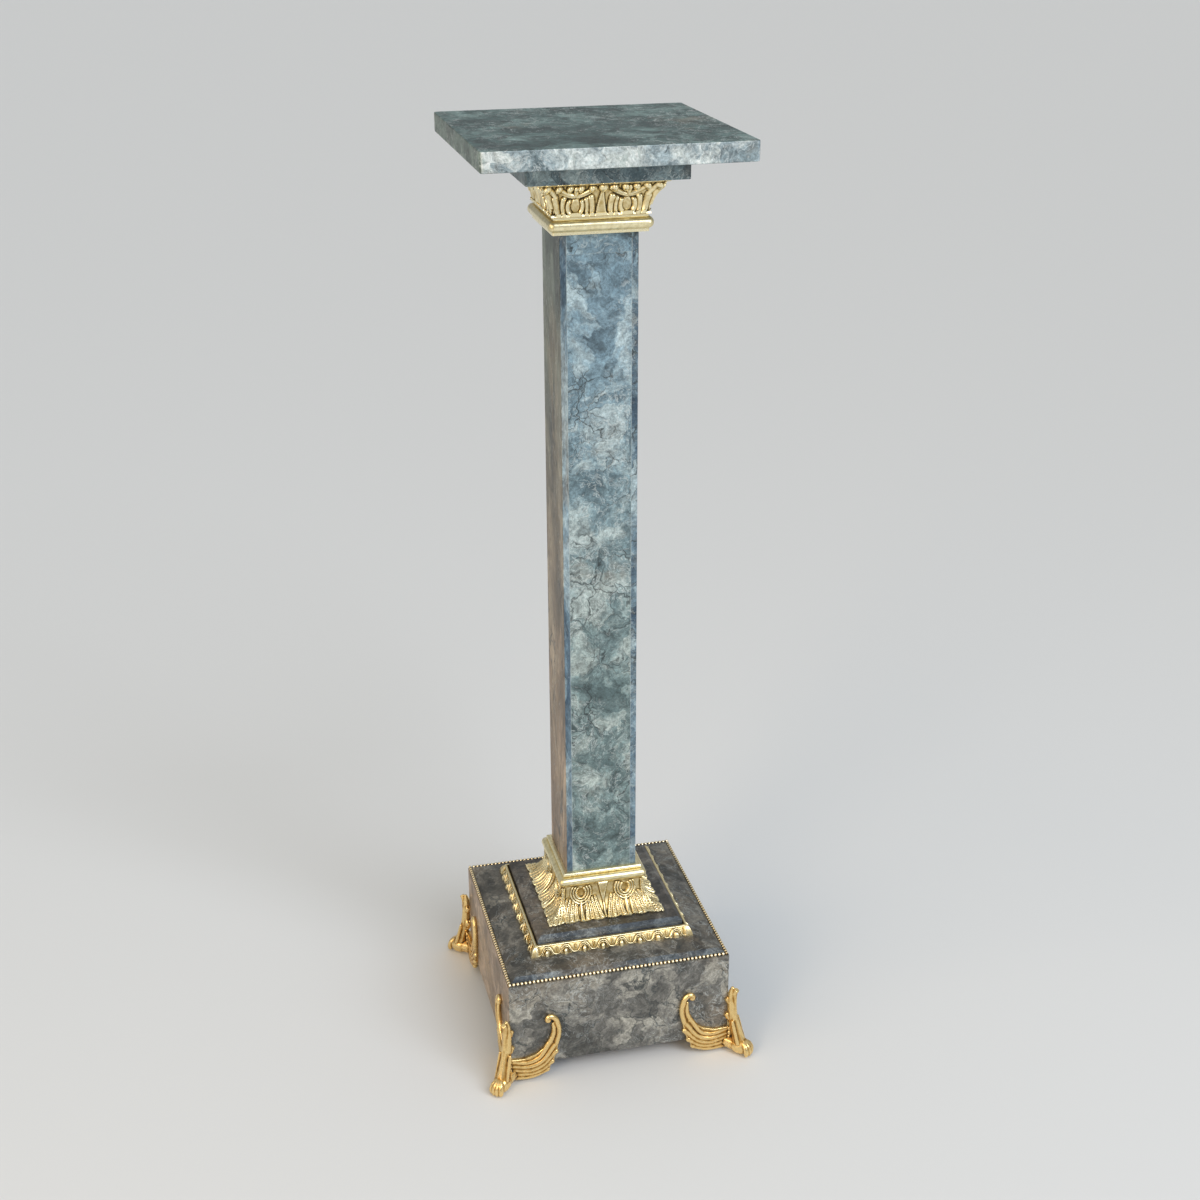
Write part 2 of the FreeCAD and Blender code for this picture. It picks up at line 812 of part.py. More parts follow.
def main():
    os.makedirs("parts", exist_ok=True)
    base_slab = base_side_slab()
    beads = bead_strip()
    eggs = egg_and_dart_strip()
    for turns, side in enumerate(SIDES):
        export(f"base_{side}_slab", turned(base_slab, turns))
        export(f"bead_strip_{side}", turned(beads, turns))
        export(f"egg_and_dart_{side}", turned(eggs, turns))
    export("base_top_slab", base_top_slab())
    export("plinth_slab", plinth_slab())

    front_joint = shaft_top - front_top_panel_length
    left_slab = shaft_side_slab()
    export("shaft_left_slab", left_slab)
    export("shaft_right_slab", turned(left_slab, 2))
    export("shaft_front_panel", shaft_panel(plinth_top, front_joint))
    export("shaft_front_top_panel", shaft_panel(front_joint, shaft_top))
    export("shaft_back_panel", turned(shaft_panel(plinth_top, shaft_top), 2))
    export("shaft_bottom_plug", shaft_plug(plinth_top, plinth_top + plug_height))
    export("shaft_top_plug", shaft_plug(shaft_top - plug_height, shaft_top))

    export("collar_acanthus_mount", collar_acanthus_mount())
    export("collar_torus_ring", collar_torus_ring())
    export("capital_torus_ring", capital_torus_ring())
    export("capital_acanthus_mount", capital_acanthus_mount())

    export("abacus_block", abacus_block())
    export("top_slab", top_slab())
    export("top_slab_dowels", top_slab_dowels())

    export("tie_rod", tie_rod())
    export("tie_rod_top_nut", hex_nut(top_nut_bottom))
    export("tie_rod_bottom_nut", hex_nut(bottom_nut_top - nut_height))
    export("tie_rod_top_washer", top_washer())
    export("clamp_plate", clamp_plate())

    foot = winged_foot()
    wooden_block = corner_block()
    screws = Part.makeCompound([foot_screw(x, y) for x, y in screw_places()])
    all_screws = []
    for turns, corner in enumerate(CORNERS):
        export(f"foot_{corner}", turned(foot, turns))
        export(f"corner_block_{corner}", turned(wooden_block, turns))
        all_screws += turned(screws, turns).Solids
    export("foot_screws", Part.makeCompound(all_screws))


main()
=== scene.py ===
import math

import bpy
import numpy as np
from mathutils import Matrix, Vector


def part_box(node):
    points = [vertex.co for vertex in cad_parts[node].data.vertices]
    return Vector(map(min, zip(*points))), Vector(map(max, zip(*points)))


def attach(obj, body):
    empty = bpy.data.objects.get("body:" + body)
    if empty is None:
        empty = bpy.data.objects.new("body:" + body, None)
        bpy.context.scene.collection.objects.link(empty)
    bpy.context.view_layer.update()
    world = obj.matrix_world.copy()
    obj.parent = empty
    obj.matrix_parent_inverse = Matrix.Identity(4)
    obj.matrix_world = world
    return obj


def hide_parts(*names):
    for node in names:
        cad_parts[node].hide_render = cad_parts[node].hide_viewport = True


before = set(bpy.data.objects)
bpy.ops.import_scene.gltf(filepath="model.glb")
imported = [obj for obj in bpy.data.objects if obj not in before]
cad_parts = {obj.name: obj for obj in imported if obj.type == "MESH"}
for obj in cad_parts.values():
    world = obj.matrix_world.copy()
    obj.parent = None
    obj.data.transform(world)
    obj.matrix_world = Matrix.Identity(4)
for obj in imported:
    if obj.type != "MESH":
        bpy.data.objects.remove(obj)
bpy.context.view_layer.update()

bpy.ops.object.select_all(action="DESELECT")


# ---- Camera and studio ----
# The view of a standing person, 1.31 m up and a little to the left of the stand's front. The studio
# is a wide pale floor under an even glow, with a soft key light at the right and a warm one at
# the left.

camera_place = Vector((-0.4169, -1.7411, 1.3095))
camera_yaw = 0.2402
camera_pitch = -0.4081
camera_roll = -0.0035
focal_length_px = 1756.12
frame_width_px = 1200
sensor_width_mm = 36.0


def linear(hex_colour):
    """A colour written as sRGB hex, in linear light."""
    shares = [int(hex_colour[place:place + 2], 16) / 255 for place in (1, 3, 5)]
    return [share / 12.92 if share <= 0.04045 else ((share + 0.055) / 1.055) ** 2.4 for share in shares] + [1.0]


def add_node(tree, kind, settings=None, inputs=None, stops=()):
    """Add a node, set its options and colour stops, and set or link its inputs."""
    node = tree.nodes.new(kind)
    for option, value in (settings or {}).items():
        setattr(node, option, value)
    for number, (position, colour) in enumerate(stops):
        ramp = node.color_ramp.elements
        stop = ramp[number] if number < 2 else ramp.new(position)
        stop.position = position
        stop.color = linear(colour)
    for socket, value in (inputs or {}).items():
        if isinstance(value, bpy.types.NodeSocket):
            tree.links.new(value, node.inputs[socket])
        else:
            node.inputs[socket].default_value = value
    return node


def new_material(name):
    """An empty material with its node tree."""
    material = bpy.data.materials.new(name)
    material.use_nodes = True
    material.node_tree.nodes.clear()
    return material, material.node_tree


forward = Vector((
    math.sin(camera_yaw) * math.cos(camera_pitch),
    math.cos(camera_yaw) * math.cos(camera_pitch),
    math.sin(camera_pitch),
))
level_right = Vector((math.cos(camera_yaw), -math.sin(camera_yaw), 0.0))
level_up = level_right.cross(forward)
right = level_right * math.cos(camera_roll) + level_up * math.sin(camera_roll)
up = level_up * math.cos(camera_roll) - level_right * math.sin(camera_roll)
camera_data = bpy.data.cameras.new("studio_camera")
camera_data.sensor_width = sensor_width_mm
camera_data.lens = sensor_width_mm * focal_length_px / frame_width_px
camera = bpy.data.objects.new("studio_camera", camera_data)
camera.matrix_world = Matrix.Translation(camera_place) @ Matrix((right, up, -forward)).transposed().to_4x4()
bpy.context.collection.objects.link(camera)
bpy.context.scene.camera = camera
bpy.context.scene.view_settings.view_transform = "Standard"

lamps = {
    # name: (kind, place or direction it shines from, width or spread, strength, colour)
    "key_light": ("SUN", (0.45, -1.0, 1.0), 0.6, 1.35, "#f4f7ff"),
    "left_fill": ("SUN", (-1.0, -0.45, 0.7), 0.9, 0.95, "#ffe0b8"),
    "left_softbox": ("AREA", (-1.5, -1.6, 1.2), 0.7, 12.0, "#ffe9cc"),
    "right_softbox": ("AREA", (1.5, -1.9, 1.5), 0.9, 15.0, "#f2f6ff"),
}
for name, (kind, place, width, power, colour) in lamps.items():
    lamp = bpy.data.lights.new(name, kind)
    if kind == "SUN":
        lamp.angle = width
    else:
        lamp.size = width
    lamp.energy = power
    lamp.color = linear(colour)[:3]
    light = bpy.data.objects.new(name, lamp)
    light.location = place
    aim = Vector((0, 0, 0)) if kind == "SUN" else Vector((0, 0, 0.5))
    light.rotation_euler = (aim - Vector(place)).to_track_quat("-Z", "Y").to_euler()
    bpy.context.collection.objects.link(light)

world = bpy.data.worlds.new("studio_world")
world.use_nodes = True
bpy.context.scene.world = world
world.node_tree.nodes.clear()
heading = add_node(world.node_tree, "ShaderNodeTexCoord").outputs["Generated"]
climb = add_node(world.node_tree, "ShaderNodeSeparateXYZ", {}, {0: heading})
glow = add_node(world.node_tree, "ShaderNodeMapRange", {}, {
    "Value": climb.outputs[2], "From Min": 0.0, "From Max": 0.9, "To Min": 0.30, "To Max": 0.72})
ambient = add_node(world.node_tree, "ShaderNodeBackground", {}, {
    "Color": linear("#eef2f4"), "Strength": glow.outputs[0]})
add_node(world.node_tree, "ShaderNodeOutputWorld", {}, {"Surface": ambient.outputs[0]})

bpy.ops.mesh.primitive_plane_add(size=90.0, location=(0, 0, 0))
floor = bpy.context.object
floor.name = "studio_floor"
material, tree = new_material("matt pale studio floor")
surface = add_node(tree, "ShaderNodeBsdfPrincipled", {}, {"Base Color": linear("#cfd2d3"), "Roughness": 0.75})
add_node(tree, "ShaderNodeOutputMaterial", {}, {"Surface": surface.outputs[0]})
floor.data.materials.append(material)


# ---- Base box ----
# Five slabs of blue-grey serpentine marble, 16 mm thick, mitred and glued into an open-bottomed box.
# Sawn, ground and polished to a soft shine, with the grain of each slab its own way.


def facing(tree, direction):
    """The share of a surface that looks one way."""
    normal = add_node(tree, "ShaderNodeNewGeometry").outputs["True Normal"]
    towards = add_node(tree, "ShaderNodeVectorMath", {"operation": "DOT_PRODUCT"}, {0: normal, 1: direction})
    share = add_node(tree, "ShaderNodeMapRange", {"interpolation_type": "SMOOTHSTEP"}, {
        "Value": towards.outputs["Value"], "From Min": 0.5, "From Max": 0.8})
    return share.outputs[0]


def below(tree, level, fade):
    """The share of a surface that lies under a level, with a wide ragged border."""
    place = add_node(tree, "ShaderNodeTexCoord").outputs["Object"]
    height = add_node(tree, "ShaderNodeSeparateXYZ", {}, {0: place}).outputs[2]
    ragged = add_node(tree, "ShaderNodeTexNoise", {}, {"Vector": place, "Scale": 1 / 0.07, "Detail": 6.0})
    wander = add_node(tree, "ShaderNodeMath", {"operation": "MULTIPLY_ADD"}, {
        0: ragged.outputs["Fac"], 1: fade, 2: height})
    share = add_node(tree, "ShaderNodeMapRange", {"interpolation_type": "SMOOTHSTEP"}, {
        "Value": wander.outputs[0], "From Min": level - fade / 2, "From Max": level + fade * 1.5,
        "To Min": 1.0, "To Max": 0.0})
    return share.outputs[0]


def marble(name, palette, shift, turn=(0, 0, 0), stretch=(1, 1, 1), brown="#71695c", brown_share=0.3,
           vein_share=0.5, crackle_share=0.3, regions=(), joints=(), vein_band=None):
    """Veined marble: gritty clouds from deep to pale, dark healed cracks that branch along angular
    cells, fine white crackle and rusty patches, under a soft polish that the grain breaks. Regions
    of a slab may have a palette of their own, and pale glue shows at its joints."""
    material, tree = new_material(name)
    place = add_node(tree, "ShaderNodeTexCoord").outputs["Object"]
    laid = add_node(tree, "ShaderNodeMapping", {}, {
        "Vector": place, "Location": shift, "Rotation": turn, "Scale": stretch}).outputs[0]

    def crumpled(vector, size, depth):
        """The place, shifted by up to depth metres by a noise of the given size."""
        folds = add_node(tree, "ShaderNodeTexNoise", {}, {
            "Vector": vector, "Scale": 1 / size, "Detail": 4.0, "Roughness": 0.6})
        centred = add_node(tree, "ShaderNodeVectorMath", {"operation": "SUBTRACT"}, {
            0: folds.outputs["Color"], 1: (0.5, 0.5, 0.5)})
        return add_node(tree, "ShaderNodeVectorMath", {"operation": "MULTIPLY_ADD"}, {
            0: centred.outputs[0], 1: (depth, depth, depth), 2: vector}).outputs[0]

    def toned(value, colours):
        """A colour between deep and pale."""
        deep, body, pale = colours
        return add_node(tree, "ShaderNodeValToRGB", {}, {0: value},
                        stops=((0.38, deep), (0.50, body), (0.63, pale))).outputs[0]

    def stretched(value, low, high):
        """A noise value spread out to the whole range."""
        return add_node(tree, "ShaderNodeMapRange", {}, {
            "Value": value, "From Min": low, "From Max": high}).outputs[0]

    def mixed(share, under, over, blend="MIX"):
        """One colour laid over another."""
        return add_node(tree, "ShaderNodeMix", {"data_type": "RGBA", "blend_type": blend}, {
            0: share, 6: under, 7: over}).outputs[2]

    folded = crumpled(laid, 0.06, 0.07)
    jagged = crumpled(folded, 0.011, 0.006)
    soft_clouds = add_node(tree, "ShaderNodeTexNoise", {}, {
        "Vector": folded, "Scale": 1 / 0.05, "Detail": 9.0, "Roughness": 0.68}).outputs["Fac"]
    shards = add_node(tree, "ShaderNodeTexVoronoi", {}, {"Vector": jagged, "Scale": 1 / 0.028}).outputs["Color"]
    shard = add_node(tree, "ShaderNodeSeparateXYZ", {}, {0: shards}).outputs[0]
    clouds = add_node(tree, "ShaderNodeMath", {"operation": "MULTIPLY_ADD"}, {
        0: add_node(tree, "ShaderNodeMath", {"operation": "SUBTRACT"}, {0: shard, 1: 0.5}).outputs[0],
        1: 0.15, 2: soft_clouds}).outputs[0]
    colour = toned(clouds, palette)
    for mask, settings, colours in regions:
        colour = mixed(mask(tree, *settings), colour, toned(clouds, colours))
    rust = add_node(tree, "ShaderNodeTexNoise", {}, {
        "Vector": laid, "Scale": 1 / 0.10, "Detail": 8.0, "Roughness": 0.66, "Distortion": 0.4}).outputs["Fac"]
    rusty = add_node(tree, "ShaderNodeMapRange", {}, {
        "Value": rust, "From Min": 0.62 - 0.25 * brown_share, "From Max": 0.74 - 0.25 * brown_share,
        "To Max": 0.65})
    colour = mixed(rusty.outputs[0], colour, linear(brown))
    blots = add_node(tree, "ShaderNodeTexNoise", {}, {
        "Vector": jagged, "Scale": 1 / 0.014, "Detail": 6.0, "Roughness": 0.75}).outputs["Fac"]
    colour = mixed(0.62, colour, stretched(blots, 0.30, 0.70), "OVERLAY")
    grain = add_node(tree, "ShaderNodeTexNoise", {}, {
        "Vector": laid, "Scale": 1 / 0.0028, "Detail": 3.0, "Roughness": 0.8}).outputs["Fac"]
    colour = mixed(0.40, colour, stretched(grain, 0.28, 0.72), "OVERLAY")

    # Dark healed cracks follow the edges of large and small cells, and fade in and out on their way
    reach = add_node(tree, "ShaderNodeTexNoise", {}, {
        "Vector": laid, "Scale": 1 / 0.045, "Detail": 4.0, "Roughness": 0.6}).outputs["Fac"]
    vein = None
    for cell_size, width, hardness in ((0.052, 0.030, 1.0), (0.028, 0.040, 0.8)):
        cells = add_node(tree, "ShaderNodeTexVoronoi", {"feature": "DISTANCE_TO_EDGE"}, {
            "Vector": jagged, "Scale": 1 / cell_size}).outputs["Distance"]
        crack = add_node(tree, "ShaderNodeMapRange", {"interpolation_type": "SMOOTHSTEP"}, {
            "Value": cells, "From Max": width, "To Min": hardness, "To Max": 0.0}).outputs[0]
        if vein is None:
            vein = crack
        else:
            vein = add_node(tree, "ShaderNodeMath", {"operation": "MAXIMUM"}, {0: vein, 1: crack}).outputs[0]
    shown = add_node(tree, "ShaderNodeMapRange", {}, {
        "Value": reach, "From Min": 0.60 - 0.18 * vein_share, "From Max": 0.68 - 0.16 * vein_share,
        "To Max": 0.9}).outputs[0]
    if vein_band:
        band_level, band_half_height = vein_band
        level = add_node(tree, "ShaderNodeSeparateXYZ", {}, {0: place}).outputs[2]
        away = add_node(tree, "ShaderNodeMath", {"operation": "SUBTRACT"}, {0: level, 1: band_level})
        distance = add_node(tree, "ShaderNodeMath", {"operation": "ABSOLUTE"}, {0: away.outputs[0]})
        in_band = add_node(tree, "ShaderNodeMapRange", {"interpolation_type": "SMOOTHSTEP"}, {
            "Value": distance.outputs[0], "From Max": band_half_height, "To Min": 0.9, "To Max": 0.0})
        shown = add_node(tree, "ShaderNodeMath", {"operation": "MAXIMUM"}, {
            0: shown, 1: in_band.outputs[0]}).outputs[0]
    vein = add_node(tree, "ShaderNodeMath", {"operation": "MULTIPLY"}, {0: vein, 1: shown}).outputs[0]
    colour = mixed(vein, colour, linear("#262f31"))

    # White crackle: the thin line where a crumpled noise crosses its middle value, in patches
    crumple = add_node(tree, "ShaderNodeTexNoise", {}, {
        "Vector": jagged, "Scale": 1 / 0.017, "Detail": 4.0, "Roughness": 0.6, "Distortion": 0.8})
    offset = add_node(tree, "ShaderNodeMath", {"operation": "SUBTRACT"}, {0: crumple.outputs["Fac"], 1: 0.5})
    line = add_node(tree, "ShaderNodeMath", {"operation": "ABSOLUTE"}, {0: offset.outputs[0]})
    thin = add_node(tree, "ShaderNodeMapRange", {}, {
        "Value": line.outputs[0], "From Max": 0.022, "To Min": crackle_share, "To Max": 0.0})
    patchy = add_node(tree, "ShaderNodeMapRange", {}, {
        "Value": rust, "From Min": 0.40, "From Max": 0.54})
    crackle = add_node(tree, "ShaderNodeMath", {"operation": "MULTIPLY"}, {
        0: thin.outputs[0], 1: patchy.outputs[0]})
    colour = mixed(crackle.outputs[0], colour, linear("#cfd8d8"))

    for axis, position in joints:
        spot = add_node(tree, "ShaderNodeSeparateXYZ", {}, {0: place}).outputs[axis]
        glue = add_node(tree, "ShaderNodeMath", {"operation": "COMPARE"}, {0: spot, 1: position, 2: 0.0004})
        trace = add_node(tree, "ShaderNodeMath", {"operation": "MULTIPLY"}, {
            0: glue.outputs[0], 1: stretched(blots, 0.35, 0.75)})
        colour = mixed(trace.outputs[0], colour, linear("#a5b0b0"))

    shine = add_node(tree, "ShaderNodeMapRange", {}, {
        "Value": grain, "From Min": 0.3, "From Max": 0.7, "To Min": 0.34, "To Max": 0.52})
    sunk = add_node(tree, "ShaderNodeMath", {"operation": "SUBTRACT"}, {0: blots, 1: vein})
    skin = add_node(tree, "ShaderNodeBump", {}, {
        "Strength": 0.3, "Distance": 0.0003, "Height": sunk.outputs[0]})
    surface = add_node(tree, "ShaderNodeBsdfPrincipled", {}, {
        "Base Color": colour, "Roughness": shine.outputs[0], "Normal": skin.outputs[0]})
    add_node(tree, "ShaderNodeOutputMaterial", {}, {"Surface": surface.outputs[0]})
    return material


def facing_rim(tree):
    """The share of a slab's top that is its bevelled front rim."""
    normal = add_node(tree, "ShaderNodeNewGeometry").outputs["True Normal"]
    lean = add_node(tree, "ShaderNodeSeparateXYZ", {}, {0: normal})
    share = add_node(tree, "ShaderNodeMapRange", {}, {
        "Value": lean.outputs[1], "From Min": -0.35, "From Max": -0.28, "To Min": 1.0, "To Max": 0.0})
    return share.outputs[0]


def finish(node_name, material):
    """Give a piece of the frame its real finish."""
    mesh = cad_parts[node_name].data
    mesh.materials.clear()
    mesh.materials.append(material)


grey_slab = ("#41423f", "#63635f", "#929188")
finish("base_front_slab", marble(
    "polished grey marble, clouded", grey_slab, shift=(0.31, 0.07, 0.42), turn=(0.2, 0.5, 0.3),
    brown_share=0.45, vein_share=0.8, crackle_share=0.4))
finish("base_right_slab", marble(
    "polished grey marble, right", grey_slab, shift=(1.7, 0.6, 0.1), turn=(0.5, 0.1, 0.6), vein_share=0.7))
finish("base_back_slab", marble(
    "polished grey marble, back", grey_slab, shift=(2.9, 1.1, 0.8), turn=(0.1, 0.7, 0.2), brown_share=0.5,
    vein_share=0.7))
# The left slab's tan-brown palette is painted warm light, the warm light that falls on the base's left side.
finish("base_left_slab", marble(
    "polished grey marble, left, painted warm light", ("#6b5c4c", "#877664", "#a29180"), shift=(4.1, 0.3, 1.9), turn=(0.4, 0.3, 0.9),
    brown="#8d7657", brown_share=0.6, vein_share=0.3, crackle_share=0.2))
# The bevelled front rims of the base top and the plinth get a bluer slate palette: painted shade on the
# front-facing bevel.
painted_shade_rim = ("#353d45", "#4b545b", "#70797d")
finish("base_top_slab", marble(
    "polished brown-grey marble", ("#33332f", "#4d4c47", "#6d6b63"), shift=(5.3, 2.2, 0.6),
    turn=(0.9, 0.2, 0.4), brown="#6b6152", brown_share=0.5, vein_share=0.4,
    regions=((facing_rim, (), painted_shade_rim),)))


# ---- Corner blocks and foot screws ----
# Sawn beech blocks glued into the corners of the base take the foot screws: slotted countersunk
# wood screws of bright zinc-plated steel, two to each foot.


def sawn_wood(name, pale, dark):
    """Sawn beech: growth rings stretched along the grain, and a rough skin from the saw."""
    ring_spacing = 0.004
    material, tree = new_material(name)
    place = add_node(tree, "ShaderNodeTexCoord").outputs["Object"]
    drawn = add_node(tree, "ShaderNodeMapping", {}, {"Vector": place, "Scale": (1.0, 1.0, 0.12)})
    rings = add_node(tree, "ShaderNodeTexNoise", {}, {
        "Vector": drawn.outputs[0], "Scale": 1 / ring_spacing, "Detail": 5.0, "Distortion": 0.8})
    colour = add_node(tree, "ShaderNodeValToRGB", {}, {0: rings.outputs["Fac"]},
                      stops=((0.35, dark), (0.65, pale)))
    skin = add_node(tree, "ShaderNodeBump", {}, {
        "Strength": 0.5, "Distance": 0.0003, "Height": rings.outputs["Fac"]})
    surface = add_node(tree, "ShaderNodeBsdfPrincipled", {}, {
        "Base Color": colour.outputs[0], "Roughness": 0.7, "Normal": skin.outputs[0]})
    add_node(tree, "ShaderNodeOutputMaterial", {}, {"Surface": surface.outputs[0]})
    return material


def plated_steel(name):
    """Zinc-plated steel: a dull spangled grey with faint handling marks."""
    spangle_size = 0.003
    material, tree = new_material(name)
    place = add_node(tree, "ShaderNodeTexCoord").outputs["Object"]
    spangle = add_node(tree, "ShaderNodeTexNoise", {}, {
        "Vector": place, "Scale": 1 / spangle_size, "Detail": 4.0, "Roughness": 0.6})
    colour = add_node(tree, "ShaderNodeValToRGB", {}, {0: spangle.outputs["Fac"]},
                      stops=((0.3, "#7d8082"), (0.7, "#b4b7b8")))
    shine = add_node(tree, "ShaderNodeMapRange", {}, {
        "Value": spangle.outputs["Fac"], "From Min": 0.3, "From Max": 0.7, "To Min": 0.3, "To Max": 0.5})
    surface = add_node(tree, "ShaderNodeBsdfPrincipled", {}, {
        "Base Color": colour.outputs[0], "Metallic": 1.0, "Roughness": shine.outputs[0]})
    add_node(tree, "ShaderNodeOutputMaterial", {}, {"Surface": surface.outputs[0]})
    return material


beech = sawn_wood("sawn beech", "#b58f66", "#8f6b47")
zinc_steel = plated_steel("zinc-plated steel")
for corner in ("front_left", "front_right", "back_left", "back_right"):
    finish(f"corner_block_{corner}", beech)
finish("foot_screws", zinc_steel)


# ---- Winged paw feet ----
# Four castings, each one piece: a lion's paw and fluted leg that climb the corner of the base, a leaf over the
# leg, and a feathered wing along both faces. Brass, chased and gilded; dark in the recesses with grime and
# painted shade, and pale on the crests as a painted highlight.

base_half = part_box("base_front_slab")[1].x
base_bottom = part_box("base_front_slab")[0].z
mm = 0.001


def gilt_bronze(name, crest, body, recess):
    """Gilt bronze: pale lemon gold where it stands proud, partly burnish and partly a painted highlight, and
    olive-brown in the recesses, grime with painted shade.
    """
    mark_size = 0.005
    material, tree = new_material(name)
    place = add_node(tree, "ShaderNodeTexCoord").outputs["Object"]
    relief = add_node(tree, "ShaderNodeAttribute", {"attribute_name": "relief"}).outputs["Fac"]
    marks = add_node(tree, "ShaderNodeTexNoise", {}, {
        "Vector": place, "Scale": 1 / mark_size, "Detail": 6.0, "Roughness": 0.65})
    uneven = add_node(tree, "ShaderNodeMapRange", {}, {
        "Value": marks.outputs["Fac"], "From Min": 0.3, "From Max": 0.7, "To Min": -0.12, "To Max": 0.12})
    relief_and_marks = add_node(tree, "ShaderNodeMath", {"operation": "ADD"}, {0: relief, 1: uneven.outputs[0]})
    # The colour runs from the recess colour (grime and painted shade) to the crest colour (a painted highlight)
    # by how far each spot stands proud.
    colour = add_node(tree, "ShaderNodeValToRGB", {}, {0: relief_and_marks.outputs[0]},
                      stops=((0.14, recess), (0.38, body), (0.68, crest)))
    metal = add_node(tree, "ShaderNodeMapRange", {}, {
        "Value": relief_and_marks.outputs[0], "From Min": 0.15, "From Max": 0.42, "To Min": 0.55, "To Max": 1.0})
    shine = add_node(tree, "ShaderNodeMapRange", {}, {
        "Value": relief_and_marks.outputs[0], "From Min": 0.2, "From Max": 0.75, "To Min": 0.52, "To Max": 0.26})
    skin = add_node(tree, "ShaderNodeBump", {}, {
        "Strength": 0.3, "Distance": 0.0003, "Height": marks.outputs["Fac"]})
    surface = add_node(tree, "ShaderNodeBsdfPrincipled", {}, {
        "Base Color": colour.outputs[0], "Metallic": metal.outputs[0], "Roughness": shine.outputs[0],
        "Normal": skin.outputs[0]})
    add_node(tree, "ShaderNodeOutputMaterial", {}, {"Surface": surface.outputs[0]})
    return material


def store_relief(piece, rounds, full_depth):
    """Note on each vertex how far it stands proud of the smoothed surface round it, or below it."""
    mesh = piece.data
    count = len(mesh.vertices)
    spots = np.empty(count * 3)
    mesh.vertices.foreach_get("co", spots)
    spots = spots.reshape(-1, 3)
    normals = np.empty(count * 3)
    mesh.vertices.foreach_get("normal", normals)
    normals = normals.reshape(-1, 3)
    ends = np.empty(len(mesh.edges) * 2, dtype=np.int32)
    mesh.edges.foreach_get("vertices", ends)
    ends = ends.reshape(-1, 2)
    here = np.concatenate((ends[:, 0], ends[:, 1]))
    there = np.concatenate((ends[:, 1], ends[:, 0]))
    neighbours = np.maximum(np.bincount(here, minlength=count), 1)
    smooth = spots.copy()
    for _ in range(rounds):
        sums = [np.bincount(here, smooth[there, axis], count) for axis in range(3)]
        smooth = (smooth + np.column_stack(sums) / neighbours[:, None]) / 2
    proud = ((spots - smooth) * normals).sum(1)
    layer = mesh.attributes.new("relief", "FLOAT", "POINT")
    layer.data.foreach_set("value", np.clip(0.5 + proud / (2 * full_depth), 0, 1))


def bar(points, radii):
    """A round bar through the points, in millimetres, with its own radius at each."""
    curve = bpy.data.curves.new("bar", "CURVE")
    curve.dimensions = "3D"
    curve.bevel_depth = mm
    curve.bevel_resolution = 3
    curve.resolution_u = 10
    curve.use_fill_caps = True
    spline = curve.splines.new("BEZIER")
    spline.bezier_points.add(len(points) - 1)
    for knot, point, radius in zip(spline.bezier_points, points, radii):
        knot.co = Vector(point) * mm
        knot.radius = radius
        knot.handle_left_type = "AUTO"
        knot.handle_right_type = "AUTO"
    rod = bpy.data.objects.new("bar", curve)
    bpy.context.collection.objects.link(rod)
    return rod


def ball(centre, radii, turn_z=0.0):
    """An egg-shaped lump, in millimetres."""
    bpy.ops.mesh.primitive_uv_sphere_add(
        segments=24, ring_count=16, radius=mm, location=Vector(centre) * mm, scale=radii,
        rotation=(0, 0, turn_z))
    return bpy.context.object


def joined(name, pieces):
    """Join the pieces into one mesh object, with its place in its mesh."""
    bpy.ops.object.select_all(action="DESELECT")
    for piece in pieces:
        piece.select_set(True)
    bpy.context.view_layer.objects.active = pieces[0]
    bpy.ops.object.convert(target="MESH")
    bpy.ops.object.join()
    whole = bpy.context.object
    bpy.ops.object.transform_apply(location=True, rotation=True, scale=True)
    whole.name = name
    whole.data.name = name
    bpy.ops.object.select_all(action="DESELECT")
    return whole


def apply_modifier(piece, kind, **settings):
    """Add one modifier to a piece and apply it."""
    bpy.context.view_layer.objects.active = piece
    modifier = piece.modifiers.new(kind.lower(), kind)
    for setting, value in settings.items():
        setattr(modifier, setting, value)
    bpy.ops.object.modifier_apply(modifier=modifier.name)


def close_up(piece):
    """Merge doubles, turn every face outwards and shade the piece smooth."""
    bpy.ops.object.select_all(action="DESELECT")
    bpy.context.view_layer.objects.active = piece
    piece.select_set(True)
    bpy.ops.object.mode_set(mode="EDIT")
    bpy.ops.mesh.select_all(action="SELECT")
    bpy.ops.mesh.remove_doubles(threshold=0.01 * mm)
    bpy.ops.mesh.normals_make_consistent(inside=False)
    bpy.ops.object.mode_set(mode="OBJECT")
    bpy.ops.object.shade_smooth_by_angle(angle=math.radians(50))
    bpy.ops.object.select_all(action="DESELECT")


def place_copies(piece, names, turns, replaced, material):
    """Copy a finished piece round the stand, each copy with its own mesh."""
    for name, turn, nodes in zip(names, turns, replaced):
        copy = bpy.data.objects.new(name, piece.data.copy())
        copy.data.name = name
        copy.data.transform(Matrix.Rotation(turn, 4, "Z"))
        copy.data.materials.clear()
        copy.data.materials.append(material)
        bpy.context.collection.objects.link(copy)
        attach(copy, "root")
        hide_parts(*nodes)
    bpy.data.objects.remove(piece)


corner_mm = base_half / mm
underside_mm = base_bottom / mm


def on_back_face(inboard, height, out):
    """A point by the back face near the back right corner."""
    return (corner_mm - inboard, corner_mm + out, height)


def on_right_face(inboard, height, out):
    """The mirror of that point on the right face."""
    return (corner_mm + out, corner_mm - inboard, height)


feathers = (
    # root, middle and tip, as (inboard, height)
    ((-6.0, 31.0), (28.0, 28.5), (46.5, 51.0)),
    ((-6.0, 25.0), (30.0, 22.5), (53.5, 48.0)),
    ((-6.0, 19.5), (30.0, 17.0), (52.8, 36.0)),
    ((-6.0, 14.0), (30.0, 11.8), (48.0, 22.8)),
    ((-6.0, 8.5), (24.0, 7.0), (42.5, 12.8)),
)
